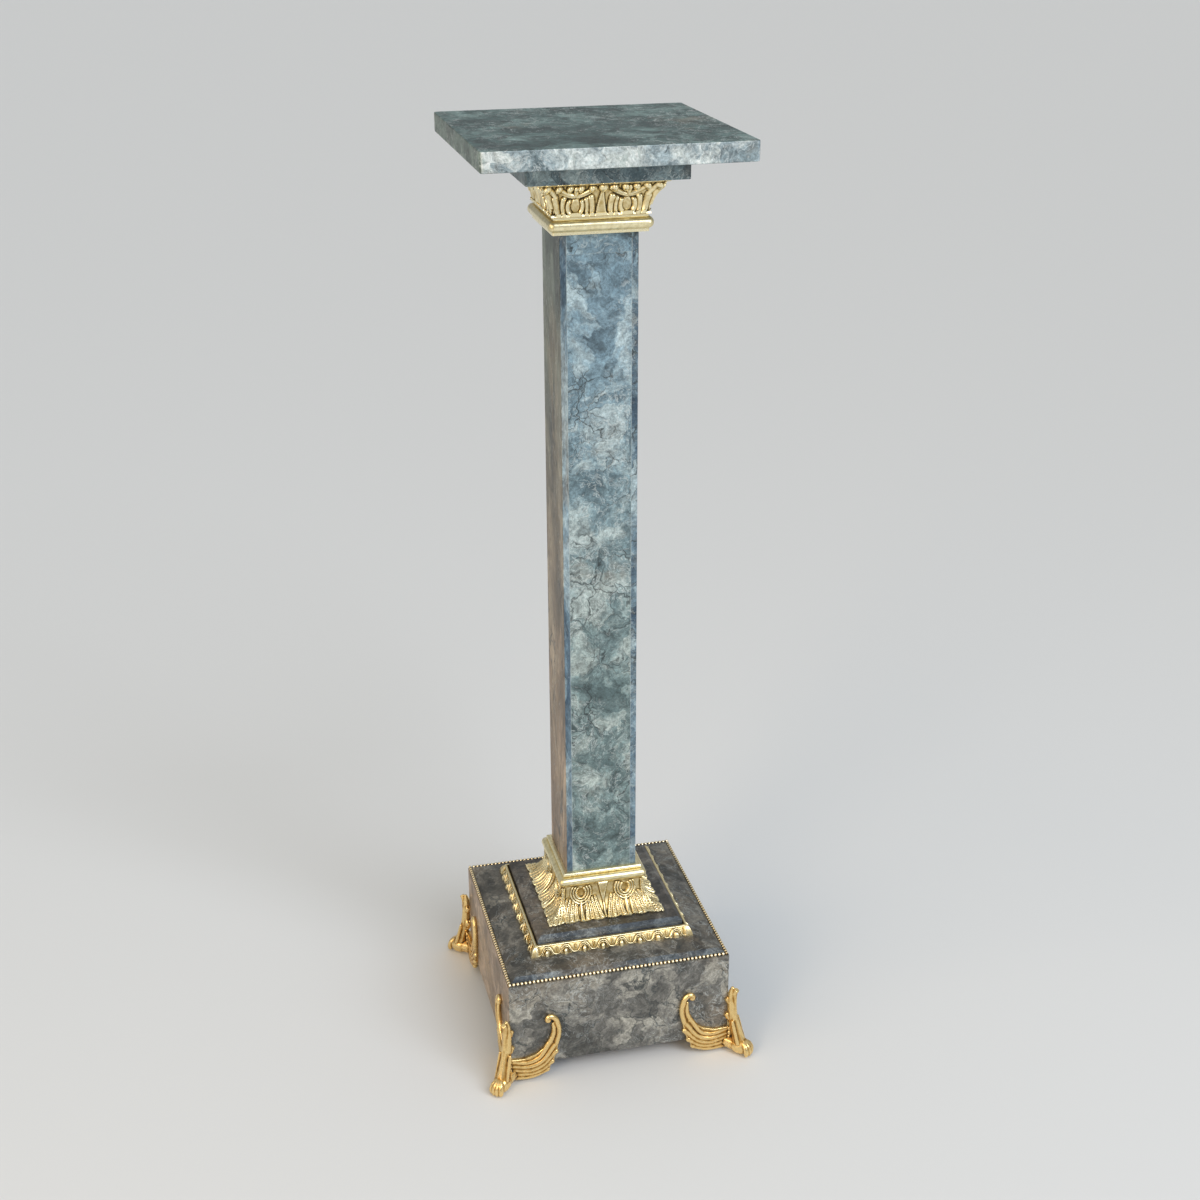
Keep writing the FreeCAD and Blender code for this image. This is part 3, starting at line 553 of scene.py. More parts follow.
# The wing's sheet under the feathers, as (inboard, height)
wing_outline = (
    (-4, 5), (10, 4), (26, 5.5), (41, 9.5), (45, 14), (46.5, 19), (50, 23), (51, 29), (54, 33), (54.5, 41),
    (56, 47), (57, 56), (58, 66), (54.5, 70), (51.5, 66), (49, 58), (44, 52), (38, 43), (31, 37),
    (16, 32), (-4, 33),
)
parts = []
for spot in (on_back_face, on_right_face):
    near = [Vector(spot(inboard, height, 0.0)) * mm for inboard, height in wing_outline]
    far = [Vector(spot(inboard, height, 4.4)) * mm for inboard, height in wing_outline]
    count = len(wing_outline)
    walls = [(step, (step + 1) % count, count + (step + 1) % count, count + step) for step in range(count)]
    sheet_mesh = bpy.data.meshes.new("sheet")
    sheet_mesh.from_pydata(near + far, [], walls + [tuple(range(count)), tuple(range(count, 2 * count))])
    sheet = bpy.data.objects.new("sheet", sheet_mesh)
    bpy.context.collection.objects.link(sheet)
    close_up(sheet)
    parts.append(sheet)
    for root, middle, tip in feathers:
        parts.append(bar([spot(*root, 2.0), spot(*middle, 3.0), spot(*tip, 2.6)], (2.6, 3.3, 3.2)))
        parts.append(ball(spot(*tip, 2.6), (3.3, 3.3, 3.3)))
    # The top feather runs on up as the scroll's inner band, and the second one as its outer band
    parts.append(bar([spot(46.5, 51, 2.6), spot(50.2, 61, 2.6), spot(50.8, 70, 2.6), spot(50.0, 76, 2.2)],
                     (3.2, 3.0, 2.6, 1.8)))
    parts.append(bar([spot(53.5, 48, 2.8), spot(56.4, 62, 3.0), spot(55.2, 74, 3.0), spot(51.2, 82.6, 2.8),
                      spot(45.6, 84.4, 2.8), spot(43.0, 80.6, 2.8)], (3.3, 3.4, 3.3, 3.2, 3.2, 3.4)))
    parts.append(ball(spot(44.0, 80.6, 3.0), (3.6, 3.6, 3.6)))
    # Leaf on the leg: two broad lobes fold over the face from the vein on the corner
    for height, width in ((52, 5.4), (73, 4.8)):
        parts.append(bar([spot(-4.0, height - 13, 2.6), spot(-1.6, height - 5, 2.6), spot(1.4, height, 1.4)],
                         (3.0, width, width - 0.6)))
        parts.append(bar(
            [spot(-5.0, height - 12, 4.4), spot(-1.8, height - 4, 5.4), spot(2.6, height + 1, 4.0)],
            (0.8, 1.3, 0.9)))
leg_axis = ((12, 12.5, 10), (26, 9.5, 8), (45, 5.5, 7.2), (65, 3.8, 6.8), (80, 3.4, 5.4), (88, 4.4, 3.0))
parts.append(bar([(corner_mm + out, corner_mm + out, height) for height, out, radius in leg_axis],
                 [radius - 1.2 for height, out, radius in leg_axis]))
# Three flutes run up the leg, and the middle one goes on as the leaf's vein to its curled tip
for side in (-1, 0, 1):
    spread = 4.8 * side
    run = [(corner_mm + out + 5.0 + spread, corner_mm + out + 5.0 - spread, height)
           for height, out in ((16, 8.0), (28, 5.4), (38, 3.4), (46, 2.0))]
    parts.append(bar(run, (2.6, 2.2, 2.2, 1.6)))
parts.append(bar([(corner_mm + out, corner_mm + out, height)
                  for height, out in ((40, 8.4), (56, 6.8), (72, 6.2), (82, 6.6), (86, 8.2))],
                 (2.0, 2.6, 2.8, 3.2, 3.0)))
paw_middle = corner_mm + 13.5
parts.append(ball((paw_middle - 1.0, paw_middle - 1.0, 10.5), (12.4, 10.2, 10.2), math.radians(45)))
for toe_number in range(4):
    heading = math.radians(45 + 62 * (toe_number / 3 - 1 / 2))
    toe = [(paw_middle + reach * math.cos(heading), paw_middle + reach * math.sin(heading), height)
           for reach, height in ((3.0, 17.5), (9.0, 14.0), (11.9, 7.0), (11.6, 2.4))]
    parts.append(bar(toe, (2.8, 3.0, 3.2, 2.2)))
    parts.append(ball((paw_middle + 9.4 * math.cos(heading), paw_middle + 9.4 * math.sin(heading), 13.4),
                      (3.2, 3.2, 3.2)))
heel_end = corner_mm - 12.0
parts.append(bar([(paw_middle, paw_middle, 10.5), (corner_mm, corner_mm, 11.5), (heel_end, heel_end, 12.4)],
                 (8.5, 8.5, 8.5)))
parts.append(ball((heel_end, heel_end, 12.4), (8.5, 8.5, 8.5)))
lug_reach = 46.0
foot_clearance = 0.2
lug_corner = corner_mm - lug_reach
lug_side = lug_reach - foot_clearance
bpy.ops.mesh.primitive_cube_add(
    size=mm, location=Vector((lug_corner + lug_side / 2, lug_corner + lug_side / 2, underside_mm - 2.0)) * mm,
    scale=(lug_side, lug_side, 4.0))
parts.append(bpy.context.object)
foot = joined("foot", parts)
apply_modifier(foot, "REMESH", mode="VOXEL", voxel_size=0.55 * mm)
apply_modifier(foot, "SMOOTH", factor=0.5, iterations=2)
apply_modifier(foot, "DECIMATE", ratio=0.3)

# Cut back to the base's faces and hollowed for the two screw heads, then flat on the floor
bpy.ops.mesh.primitive_cube_add(size=1.0, location=(0, 0, base_bottom + 0.1),
                                scale=(2 * base_half + 0.0004, 2 * base_half + 0.0004, 0.2))
cutters = [bpy.context.object]
for x_inset, y_inset in ((24, 38), (38, 24)):
    bpy.ops.mesh.primitive_cylinder_add(
        vertices=32, radius=4.1 * mm, depth=8 * mm,
        location=Vector((corner_mm - x_inset, corner_mm - y_inset, underside_mm - 6.0)) * mm)
    cutters.append(bpy.context.object)
cutter = joined("cutter", cutters)
apply_modifier(foot, "BOOLEAN", operation="DIFFERENCE", object=cutter, solver="EXACT")
bpy.data.objects.remove(cutter)
bpy.context.view_layer.objects.active = foot
foot.select_set(True)
bpy.ops.object.mode_set(mode="EDIT")
bpy.ops.mesh.select_all(action="SELECT")
bpy.ops.mesh.bisect(plane_co=(0, 0, 0), plane_no=(0, 0, 1), use_fill=True, clear_inner=True)
bpy.ops.mesh.select_all(action="SELECT")
bpy.ops.mesh.normals_make_consistent(inside=False)
bpy.ops.object.mode_set(mode="OBJECT")
bpy.ops.object.shade_smooth()
store_relief(foot, rounds=14, full_depth=0.45 * mm)
foot_gilding = gilt_bronze("gilt bronze, warm", crest="#f7d795", body="#b98b43", recess="#35250d")
corners = ("back_right", "back_left", "front_left", "front_right")
place_copies(foot, [f"winged_foot_{corner}" for corner in corners],
             [math.radians(90 * turns) for turns in range(4)],
             [[f"foot_{corner}"] for corner in corners], foot_gilding)


# ---- Beaded edging ----
# Brass beads on a wire, pressed as a strip, gilded, and let into the rebate along the base's top
# edges. Each strip starts with a corner bead and stops one short of the next corner.

bead_radius = 2.0 * mm
bead_gap = 0.63 * mm
bead_wire_radius = 1.1 * mm
strip_low, strip_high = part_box("bead_strip_front")
strip_reach = -(strip_low.y + bead_radius)
strip_level = strip_high.z - bead_radius
bead_count = math.floor(2 * strip_reach / (2 * bead_radius + bead_gap))
bead_pitch = 2 * strip_reach / bead_count
bpy.ops.mesh.primitive_uv_sphere_add(segments=10, ring_count=7, radius=bead_radius, location=(0, 0, 0),
                                     rotation=(0, math.radians(90), 0))
first_bead = bpy.context.object
beads = []
for number in range(bead_count):
    bead = bpy.data.objects.new("bead", first_bead.data.copy())
    bead.matrix_world = Matrix.Translation((number * bead_pitch - strip_reach, -strip_reach, strip_level)) \
        @ first_bead.matrix_world
    bpy.context.collection.objects.link(bead)
    beads.append(bead)
bpy.data.objects.remove(first_bead)
wire_length = (bead_count - 1) * bead_pitch
bpy.ops.mesh.primitive_cylinder_add(
    vertices=10, radius=bead_wire_radius, depth=wire_length, rotation=(0, math.radians(90), 0),
    location=(wire_length / 2 - strip_reach, -strip_reach, strip_level))
beading = joined("beading", beads + [bpy.context.object])
beading.select_set(True)
bpy.ops.object.shade_smooth()
# Painted shade and highlight: the wire between the beads takes the dark recess colour and the bead crowns take
# the pale crest colour.
beading_relief = beading.data.attributes.new("relief", "FLOAT", "POINT")
for vertex, mark in zip(beading.data.vertices, beading_relief.data):
    off_axis = math.hypot(vertex.co.y + strip_reach, vertex.co.z - strip_level)
    mark.value = (off_axis - bead_wire_radius) / (bead_radius - bead_wire_radius)
bead_gilding = gilt_bronze("gilt bronze, pale", crest="#fff2cf", body="#c9a866", recess="#33240f")
sides = ("front", "right", "back", "left")
side_turns = [math.radians(90 * turns) for turns in range(4)]
place_copies(beading, [f"beaded_edging_{side}" for side in sides], side_turns,
             [[f"bead_strip_{side}"] for side in sides], bead_gilding)


# ---- Plinth slab ----
# Low slab of the same marble, darker, set on the middle of the base; its front rim is painted bluer as painted
# shade.

finish("plinth_slab", marble(
    "polished dark marble", ("#2f2e2b", "#46433f", "#65615a"), shift=(7.1, 0.9, 2.6), turn=(0.3, 0.8, 0.1),
    brown="#5f5648", brown_share=0.4, vein_share=0.4, regions=((facing_rim, (), painted_shade_rim),)))


# ---- Egg-and-dart strips ----
# Cast brass ovolo moulding round the plinth slab, mitred at the corners: eggs under a waved double
# fillet, a dart in each dip, and a large smooth egg at each corner.


def walk(points, spacing):
    """Points evenly spaced along the straight runs between the given ones."""
    spots = [np.array(points[0], float)]
    for start, end in zip(points, points[1:]):
        start, end = np.array(start, float), np.array(end, float)
        steps = max(1, round(float(np.linalg.norm(end - start)) / spacing))
        spots += [start + (end - start) * step / steps for step in range(1, steps + 1)]
    return np.array(spots)


def carved_side(name, section, carved, relief, columns, notch=None, capped=True):
    """One side of a square mount. The section, (reach, height) points in a closed loop, runs from
    mitre to mitre, and relief(x, t) raises its first carved points, t being the way along them."""
    following = np.roll(section, -1, axis=0)
    before = np.roll(section, 1, axis=0)
    heading = following - before
    heading[0] = section[1] - section[0]
    heading[carved - 1] = section[carved - 1] - section[carved - 2]
    heading /= np.linalg.norm(heading, axis=1)[:, None]
    outward = np.column_stack((-heading[:, 1], heading[:, 0]))
    if outward[carved // 2, 0] < 0:
        outward = -outward
    along = np.concatenate(([0], np.cumsum(np.linalg.norm(np.diff(section[:carved], axis=0), axis=1))))
    share = np.linspace(-1, 1, columns)[:, None]
    reach = np.repeat(section[None, :, 0], columns, axis=0)
    height = np.repeat(section[None, :, 1], columns, axis=0)
    if notch:
        reach = reach - notch(share * reach, height)
    rise = np.zeros_like(reach)
    rise[:, :carved] = relief(share * reach[:, :carved], np.repeat(along[None, :], columns, axis=0))
    reach = reach + rise * outward[None, :, 0]
    height = height + rise * outward[None, :, 1]
    rows = section.shape[0]
    spots = np.stack((share * reach, -reach, height), axis=2).reshape(-1, 3) * mm
    faces = []
    for column in range(columns - 1):
        for row in range(rows):
            a = column * rows + row
            b = column * rows + (row + 1) % rows
            faces.append((a, b, b + rows, a + rows))
    if capped:
        faces.append(tuple(range(rows)))
        faces.append(tuple(range((columns - 1) * rows, columns * rows)))
    mesh = bpy.data.meshes.new(name)
    mesh.from_pydata(spots.tolist(), [], faces)
    side = bpy.data.objects.new(name, mesh)
    bpy.context.collection.objects.link(side)
    if capped:
        close_up(side)
    return side


strip_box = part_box("egg_and_dart_front")
strip_outer = 95.3
strip_inner = 87.5
strip_ledge = 89.9
strip_bottom = strip_box[0].z / mm
strip_top = strip_box[1].z / mm
egg_count = 8
egg_pitch = 2 * strip_inner / egg_count


def arc_points(start, middle, end, steps):
    """Points along the circle through three (reach, height) points."""
    (ax, ay), (bx, by), (cx, cy) = start, middle, end
    scale = 2 * (ax * (by - cy) + bx * (cy - ay) + cx * (ay - by))
    squares = (ax * ax + ay * ay, bx * bx + by * by, cx * cx + cy * cy)
    centre = np.array((
        (squares[0] * (by - cy) + squares[1] * (cy - ay) + squares[2] * (ay - by)) / scale,
        (squares[0] * (cx - bx) + squares[1] * (ax - cx) + squares[2] * (bx - ax)) / scale,
    ))
    first, passed, last = [math.atan2(y - centre[1], x - centre[0]) for x, y in (start, middle, end)]
    sweep = (last - first) % (2 * math.pi)
    if (passed - first) % (2 * math.pi) > sweep:
        sweep -= 2 * math.pi
    radius = math.hypot(ax - centre[0], ay - centre[1])
    turns = first + sweep * np.linspace(0, 1, steps + 1)
    return np.column_stack((centre[0] + radius * np.cos(turns), centre[1] + radius * np.sin(turns)))


def egg_relief(x, t):
    """Eggs, a waved double line over them, and darts along the strip."""
    phase = (x / egg_pitch) % 1.0 - 0.5
    off_egg = np.abs(phase * egg_pitch)
    swing = 2 * math.pi * phase
    bend = np.tanh(1.5 * np.cos(swing)) / math.tanh(1.5)
    wave = 6.0 + 4.5 * bend
    lean = np.abs(4.5 * 1.5 * 2 * math.pi / egg_pitch * np.sin(swing)) / np.cosh(1.5 * np.cos(swing)) ** 2
    steep = np.sqrt(1 + (lean / math.tanh(1.5)) ** 2)
    outer_line = 1.7 * np.sqrt(np.clip(1 - ((t - wave) / steep / 1.0) ** 2, 0, 1))
    inner_line = 1.2 * np.sqrt(np.clip(1 - ((t - wave + 2.2 * steep ** 0.6) / steep / 0.7) ** 2, 0, 1))
    inner_line = np.where(off_egg < 6.6, inner_line, 0)
    egg_shape = (off_egg / 2.6) ** 2 + (np.maximum(t - 3.0, 0) / 4.2) ** 2
    egg = 2.9 * np.sqrt(np.clip(1 - egg_shape, 0, 1))
    off_dart = np.abs(off_egg - egg_pitch / 2)
    dart = 1.5 * np.clip(1.2 - off_dart / (0.35 + 0.12 * np.clip(t - 4, 0, 8)), 0, 1) * (t > 4.0) * (t < 10.2)
    whole = np.maximum(np.maximum(outer_line, inner_line), np.maximum(egg, dart)) - 1.2
    on_corner = np.clip((np.abs(x) - strip_inner + 1.5) / 2.0, 0, 1)
    knob = 1.2 * np.sqrt(np.clip(1 - ((t - 5.6) / 7.4) ** 2, 0, 1))
    whole = whole * (1 - on_corner) + knob * on_corner
    fillet = np.clip((t - fillet_start) / 0.4, 0, 1)
    return whole * (1 - fillet) + 0.25 * fillet


outer_foot = (strip_outer, strip_bottom)
foot_edge = (strip_outer - 0.2, strip_bottom + 0.8)
crown = (strip_ledge, strip_top - 0.8)
bulge = ((foot_edge[0] + crown[0]) / 2 + 0.5, (foot_edge[1] + crown[1]) / 2 + 0.4)
face = np.vstack((
    walk((outer_foot, foot_edge), 0.3)[:-1],
    arc_points(foot_edge, bulge, crown, 44),
    walk((crown, (strip_ledge, strip_top)), 0.4)[1:],
))
fillet_start = 12.0
back = walk(((strip_ledge, strip_top), (strip_inner, strip_top), (strip_inner, strip_bottom), outer_foot), 4.0)
section = np.vstack((face, back[1:-1]))
egg_side = carved_side("egg_side", section, len(face), egg_relief, columns=380)
store_relief(egg_side, rounds=10, full_depth=0.5 * mm)
# Painted shadow: the level ledge behind the carving, by the plinth, is set to the darkest, dullest recess value
# for the shadowed gap between strip and plinth
for vertex, mark in zip(egg_side.data.vertices, egg_side.data.attributes["relief"].data):
    if vertex.co.z > (strip_top - 0.05) * mm and -vertex.co.y < (strip_ledge - 0.3) * mm:
        mark.value = 0.05
strip_gilding = gilt_bronze(
    "gilt bronze, pale with olive recesses", crest="#f4e6ba", body="#bda468", recess="#4a4026")
place_copies(egg_side, [f"egg_and_dart_moulding_{side}" for side in sides], side_turns,
             [[f"egg_and_dart_{side}"] for side in sides], strip_gilding)


# ---- Collar ----
# Cast acanthus mount that spreads from the shaft's foot to the plinth slab: on each side two drooping
# leaves with pierced eyes, a smooth tongue between them and a fluted leaf round each corner.


def ridge(x, t, start, bend, end, radii, rise, hollow=0.0):
    """The height of one chased stroke that curves from start to end, a rounded ridge or, where it is
    hollow, a gouged finger between two rims."""
    steps = 12
    height = np.zeros_like(x)
    for step in range(steps):
        spots = []
        for share in (step / steps, (step + 1) / steps):
            spots.append([
                (1 - share) ** 2 * a + 2 * share * (1 - share) * b + share ** 2 * c
                for a, b, c in zip(start, bend, end)])
        (x0, t0), (x1, t1) = spots
        length = max((x1 - x0) ** 2 + (t1 - t0) ** 2, 1e-9)
        way = np.clip(((x - x0) * (x1 - x0) + (t - t0) * (t1 - t0)) / length, 0, 1)
        gap = np.hypot(x - x0 - way * (x1 - x0), t - t0 - way * (t1 - t0))
        radius = radii[0] + (radii[1] - radii[0]) * (step + way) / steps
        share_out = gap / radius
        crown_shape = np.sqrt(np.clip(1 - share_out ** 2, 0, 1))
        gouge = hollow * np.clip(1 - (share_out / 0.62) ** 2, 0, 1)
        height = np.maximum(height, rise * (crown_shape - gouge * 0.75))
    return height


def pit(x, t, centre, radii, depth):
    """The depth of an oval eye cut into the mount."""
    return depth * np.clip(
        1 - ((x - centre[0]) / radii[0]) ** 2 - ((t - centre[1]) / radii[1]) ** 2, 0, 1) ** 0.6


def oval(x, t, centre, radii, first_deg, last_deg, thickness, rise):
    """A raised rim round part of an eye. Degrees run from the side away from the middle,
    towards the mount's lip."""
    steps = 14
    height = np.zeros_like(x)
    for step in range(steps):
        turns = [math.radians(first_deg + (last_deg - first_deg) * (step + end) / steps) for end in (0, 1)]
        ends = [(centre[0] + radii[0] * math.cos(turn), centre[1] + radii[1] * math.sin(turn))
                for turn in turns]
        middle = tuple((a + b) / 2 for a, b in zip(*ends))
        height = np.maximum(height, ridge(x, t, ends[0], middle, ends[1], (thickness, thickness), rise))
    return height


def collar_relief(x, t):
    """The carving of one side of the collar, the same left and right of its middle."""
    x = np.abs(x)
    t = t * full_run / collar_run
    eye = (26.2, 12.0)
    layers = []
    for band in range(3):
        # Nested bands that wrap the eye, open towards the neck
        layers.append(oval(x, t, eye, (5.8 + 3.1 * band, 8.4 + 3.4 * band), -50 + 8 * band, 230 - 8 * band,
                           1.45 - 0.1 * band, 2.3 - 0.15 * band))
    for finger in range(4):
        # Hollow fingers that droop to the edge on both sides of the stem
        spread = 3.6 * finger
        layers.append(ridge(x, t, (20.6 - spread, 24.6 - 1.6 * finger), (19.4 - 1.2 * spread, 36.0),
                            (22.4 - 1.65 * spread, 50.0), (1.5, 3.0), 2.4, hollow=0.8))
        layers.append(ridge(x, t, (32.2 + spread, 24.6 - 1.6 * finger), (34.4 + 1.2 * spread, 36.0),
                            (34.8 + 1.75 * spread, 50.0), (1.5, 3.2), 2.4, hollow=0.8))
    layers.append(ridge(x, t, (26.4, 24.0), (27.0, 36.0), (28.0, 52.0), (1.3, 2.6), 2.0))
    for flute in range(4):
        layers.append(ridge(x, t, (46.5, 4.0 + 3.0 * flute), (48.5 + 2.6 * flute, 28.0),
                            (49.0 + 5.9 * flute, 51.0), (1.3, 2.9), 2.6, hollow=0.75))
    height = np.zeros_like(x)
    for layer in layers:
        height = np.maximum(height, layer)
    tongue_half_width = 6.4 * (1 - t / 33)
    tongue = 1.9 * np.clip((tongue_half_width - x) / 0.7, 0, 1) * (t < 33)
    vein = ridge(x, t, (0, 28), (0, 40), (0, 51), (0.9, 1.4), 1.8)
    rim = 1.4 * np.sqrt(np.clip(1 - ((t - 52.0) / 1.5) ** 2, 0, 1))
    height = np.maximum(np.maximum(height, rim), np.maximum(tongue, vein))
    height = height - pit(x, t, eye, (3.9, 6.6), 1.9)
    return (height - 0.9) * np.clip(t / 1.5, 0, 1) * np.clip((corner_fade - t) / 2.0, 0, 1)


def collar_notch(x, height):
    """How far the scalloped edge draws in between its lobes."""
    low = np.clip((collar_bottom + 12.0 - height) / 12.0, 0, 1)
    return 3.4 * low ** 1.5 * (1 - np.abs(np.sin(math.pi * x / 17.0))) ** 1.4 * (np.abs(x) < 60)


def square_ring(name, section, carved, relief, columns, notch):
    """A carved side and its three turned copies, merged at the mitres into one closed ring."""
    side = carved_side(name, section, carved, relief, columns, notch, capped=False)
    ring = [side]
    for turn in side_turns[1:]:
        copy = bpy.data.objects.new(name, side.data.copy())
        copy.data.transform(Matrix.Rotation(turn, 4, "Z"))
        bpy.context.collection.objects.link(copy)
        ring.append(copy)
    whole = joined(name, ring)
    close_up(whole)
    return whole


def hollow_curve(neck, lip, steps):
    """A curve that leaves the neck upright and sweeps out to the lip, both (reach, height)."""
    out = lip[0] - neck[0]
    climb = abs(lip[1] - neck[1])
    radius = (out ** 2 + climb ** 2) / (2 * out)
    sweep = math.atan2(climb, radius - out)
    middle = (neck[0] + radius * (1 - math.cos(sweep / 2)),
              neck[1] + math.copysign(radius * math.sin(sweep / 2), lip[1] - neck[1]))
    return arc_points(neck, middle, lip, steps)


collar_low, collar_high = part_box("collar_acanthus_mount")
collar_bottom = collar_low.z / mm
collar_top = collar_high.z / mm
collar_lip = collar_high.x / mm
collar_neck = 48.0
mount_wall = 4.0
collar_neck_height = 11.0
collar_neck_level = collar_top - collar_neck_height
collar_lip_level = collar_bottom + 2.5
face = np.vstack((
    walk(((collar_neck, collar_top), (collar_neck, collar_neck_level)), 0.6)[:-1],
    hollow_curve((collar_neck, collar_neck_level), (collar_lip, collar_lip_level), 64),
    walk(((collar_lip, collar_lip_level), (collar_lip, collar_bottom)), 0.8)[1:],
))
carving_columns = 230
# The carving is laid out for a run of 54 mm from the neck to the edge, and its last part fades out
full_run = 54.0
corner_fade = 55.5
collar_run = float(np.linalg.norm(np.diff(face, axis=0), axis=1).sum())
inside = np.vstack((
    np.array([(collar_lip - mount_wall, collar_bottom)]),
    hollow_curve((collar_neck - mount_wall, collar_neck_level),
                 (collar_lip - mount_wall, collar_lip_level), 12)[::-1],
    np.array([(collar_neck - mount_wall, collar_top)]),
))
collar = square_ring("collar", np.vstack((face, inside)), len(face), collar_relief, carving_columns,
                     collar_notch)
store_relief(collar, rounds=12, full_depth=0.5 * mm)
mount_gilding = gilt_bronze("gilt bronze, chased", crest="#fbeec2", body="#c2a768", recess="#453b22")
place_copies(collar, ["acanthus_collar"], [0.0], [["collar_acanthus_mount"]], mount_gilding)


# ---- Shaft, rod and plugs ----
# A hollow square column of four marble slabs glued round two beech plugs. The front panel is lighter and let in
# between the side slabs, whose sawn edges show; the left slab's dark green and tan and the edges' lighter blue
# are painted shade and light. One steel rod clamps the whole stand.

side_joint = 0.034
level_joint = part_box("shaft_front_panel")[1].z
sky_blue = ("#566d7a", "#708a98", "#95a8af")
green_grey = ("#47595b", "#677b7c", "#929f9c")
lit_edge_blue = ("#34495a", "#5f7683", "#8c9ea4")
front = (0, -1, 0)
finish("shaft_front_panel", marble(
    "polished pale blue marble", sky_blue, shift=(9.2, 1.3, 0.2), turn=(0.2, 0.1, 0.5), brown_share=0.1,
    vein_share=0.6, crackle_share=0.45, regions=((below, (0.66, 0.24), green_grey),),
    joints=((0, side_joint), (0, -side_joint), (2, level_joint)), vein_band=(0.56, 0.10)))
finish("shaft_front_top_panel", marble(
    "polished pale blue marble, short piece", sky_blue, shift=(10.6, 0.2, 1.4), turn=(0.7, 0.2, 0.1),
    brown_share=0.1, vein_share=0.5, crackle_share=0.45, joints=((0, side_joint), (0, -side_joint))))
# The left slab is painted dark green for the shade on the shaft's left side and tan low down for painted warm
# light.
finish("shaft_left_slab", marble(
    "polished dark green marble, tan below", ("#2f3b39", "#485550", "#67736c"), shift=(12.0, 2.1, 0.9),
    stretch=(1, 1, 0.35), brown="#7d6f5a", brown_share=0.4, vein_share=0.4, crackle_share=0.2,
    regions=((below, (0.60, 0.36), ("#6a5a49", "#897662", "#a5937d")), (facing, (front,), lit_edge_blue)),
    joints=((0, -side_joint),)))
# The side slabs' front-facing sawn edges take the lighter blue edge palette, painted light where the edges
# catch it.
finish("shaft_right_slab", marble(
    "polished blue marble, right", ("#3d525c", "#5f747d", "#82959b"), shift=(13.4, 0.8, 1.7),
    turn=(0.5, 0.6, 0.3), vein_share=0.6, regions=((facing, (front,), lit_edge_blue),), joints=((0, side_joint),)))
finish("shaft_back_panel", marble(
    "polished blue marble, back", ("#4c636d", "#6f8692", "#93a6ad"), shift=(14.8, 1.9, 0.3),
    turn=(0.4, 0.2, 0.8), vein_share=0.65, crackle_share=0.4))
for plug in ("shaft_bottom_plug", "shaft_top_plug"):
    finish(plug, beech)
for fitting in ("tie_rod", "tie_rod_top_nut", "tie_rod_bottom_nut", "tie_rod_top_washer", "clamp_plate"):
    finish(fitting, zinc_steel)


# ---- Rings and capital ----
# Drawn and brazed torus rings, burnished bright, bed the two leaf mounts. The capital is cast like the
# collar but stands upright, with leaf tips that curl out under the abacus.


def rounded_ring(name, section, corner_start):
    """A moulding carried round a square whose corners round off beyond corner_start."""
    corner_columns = 9
    columns = []
    for side in range(4):
        turn = math.pi / 2 * side
        for step in range(corner_columns + 1):
            columns.append((turn, math.pi / 2 * step / corner_columns))
    rows = len(section)
    spots = []
    for turn, corner_turn in columns:
        for reach, height in section:
            radius = max(reach - corner_start, 0.05)
            centre = reach - radius
            x = centre + radius * math.sin(corner_turn)
            y = -centre - radius * math.cos(corner_turn)
            spots.append((
                (x * math.cos(turn) - y * math.sin(turn)) * mm,
                (x * math.sin(turn) + y * math.cos(turn)) * mm,
                height * mm,
            ))
    count = len(columns)
    faces = [
        (column * rows + row, column * rows + (row + 1) % rows,
         (column + 1) % count * rows + (row + 1) % rows, (column + 1) % count * rows + row)
        for column in range(count) for row in range(rows)
    ]
    mesh = bpy.data.meshes.new(name)
    mesh.from_pydata(spots, [], faces)
    ring = bpy.data.objects.new(name, mesh)
    bpy.context.collection.objects.link(ring)
    close_up(ring)
    return ring


def half_round(crest, bottom, radius, steps=16):
    """A half-round moulding from its lower to its upper shoulder."""
    middle = (crest, bottom + radius)
    return arc_points((crest - radius, bottom), middle, (crest - radius, bottom + 2 * radius), steps)


shaft_half = 41.0
ring_inner = shaft_half + 0.3
collar_ring_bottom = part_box("collar_torus_ring")[0].z / mm
section = np.vstack((
    np.array([(ring_inner, collar_ring_bottom)]),
    half_round(52.0, collar_ring_bottom, 5.2),
    half_round(46.5, collar_ring_bottom + 10.4, 2.6),
    np.array([(ring_inner, collar_ring_bottom + 15.6)]),
))
ring_gilding = gilt_bronze("gilt bronze, burnished", crest="#fff4cb", body="#cbb981", recess="#6b5a2e")
collar_ring = rounded_ring("collar_ring", section, 47.0)
store_relief(collar_ring, rounds=2, full_depth=4 * mm)
place_copies(collar_ring, ["collar_double_torus"], [0.0], [["collar_torus_ring"]], ring_gilding)
capital_ring_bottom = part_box("capital_torus_ring")[0].z / mm
section = np.vstack((
    np.array([(ring_inner, capital_ring_bottom), (49.6, capital_ring_bottom),
              (49.6, capital_ring_bottom + 3.0)]),
    half_round(54.3, capital_ring_bottom + 3.0, 6.0),
    np.array([(ring_inner, capital_ring_bottom + 15.0)]),
))
capital_ring = rounded_ring("capital_ring", section, 48.0)
store_relief(capital_ring, rounds=2, full_depth=4 * mm)
place_copies(capital_ring, ["capital_torus"], [0.0], [["capital_torus_ring"]], ring_gilding)


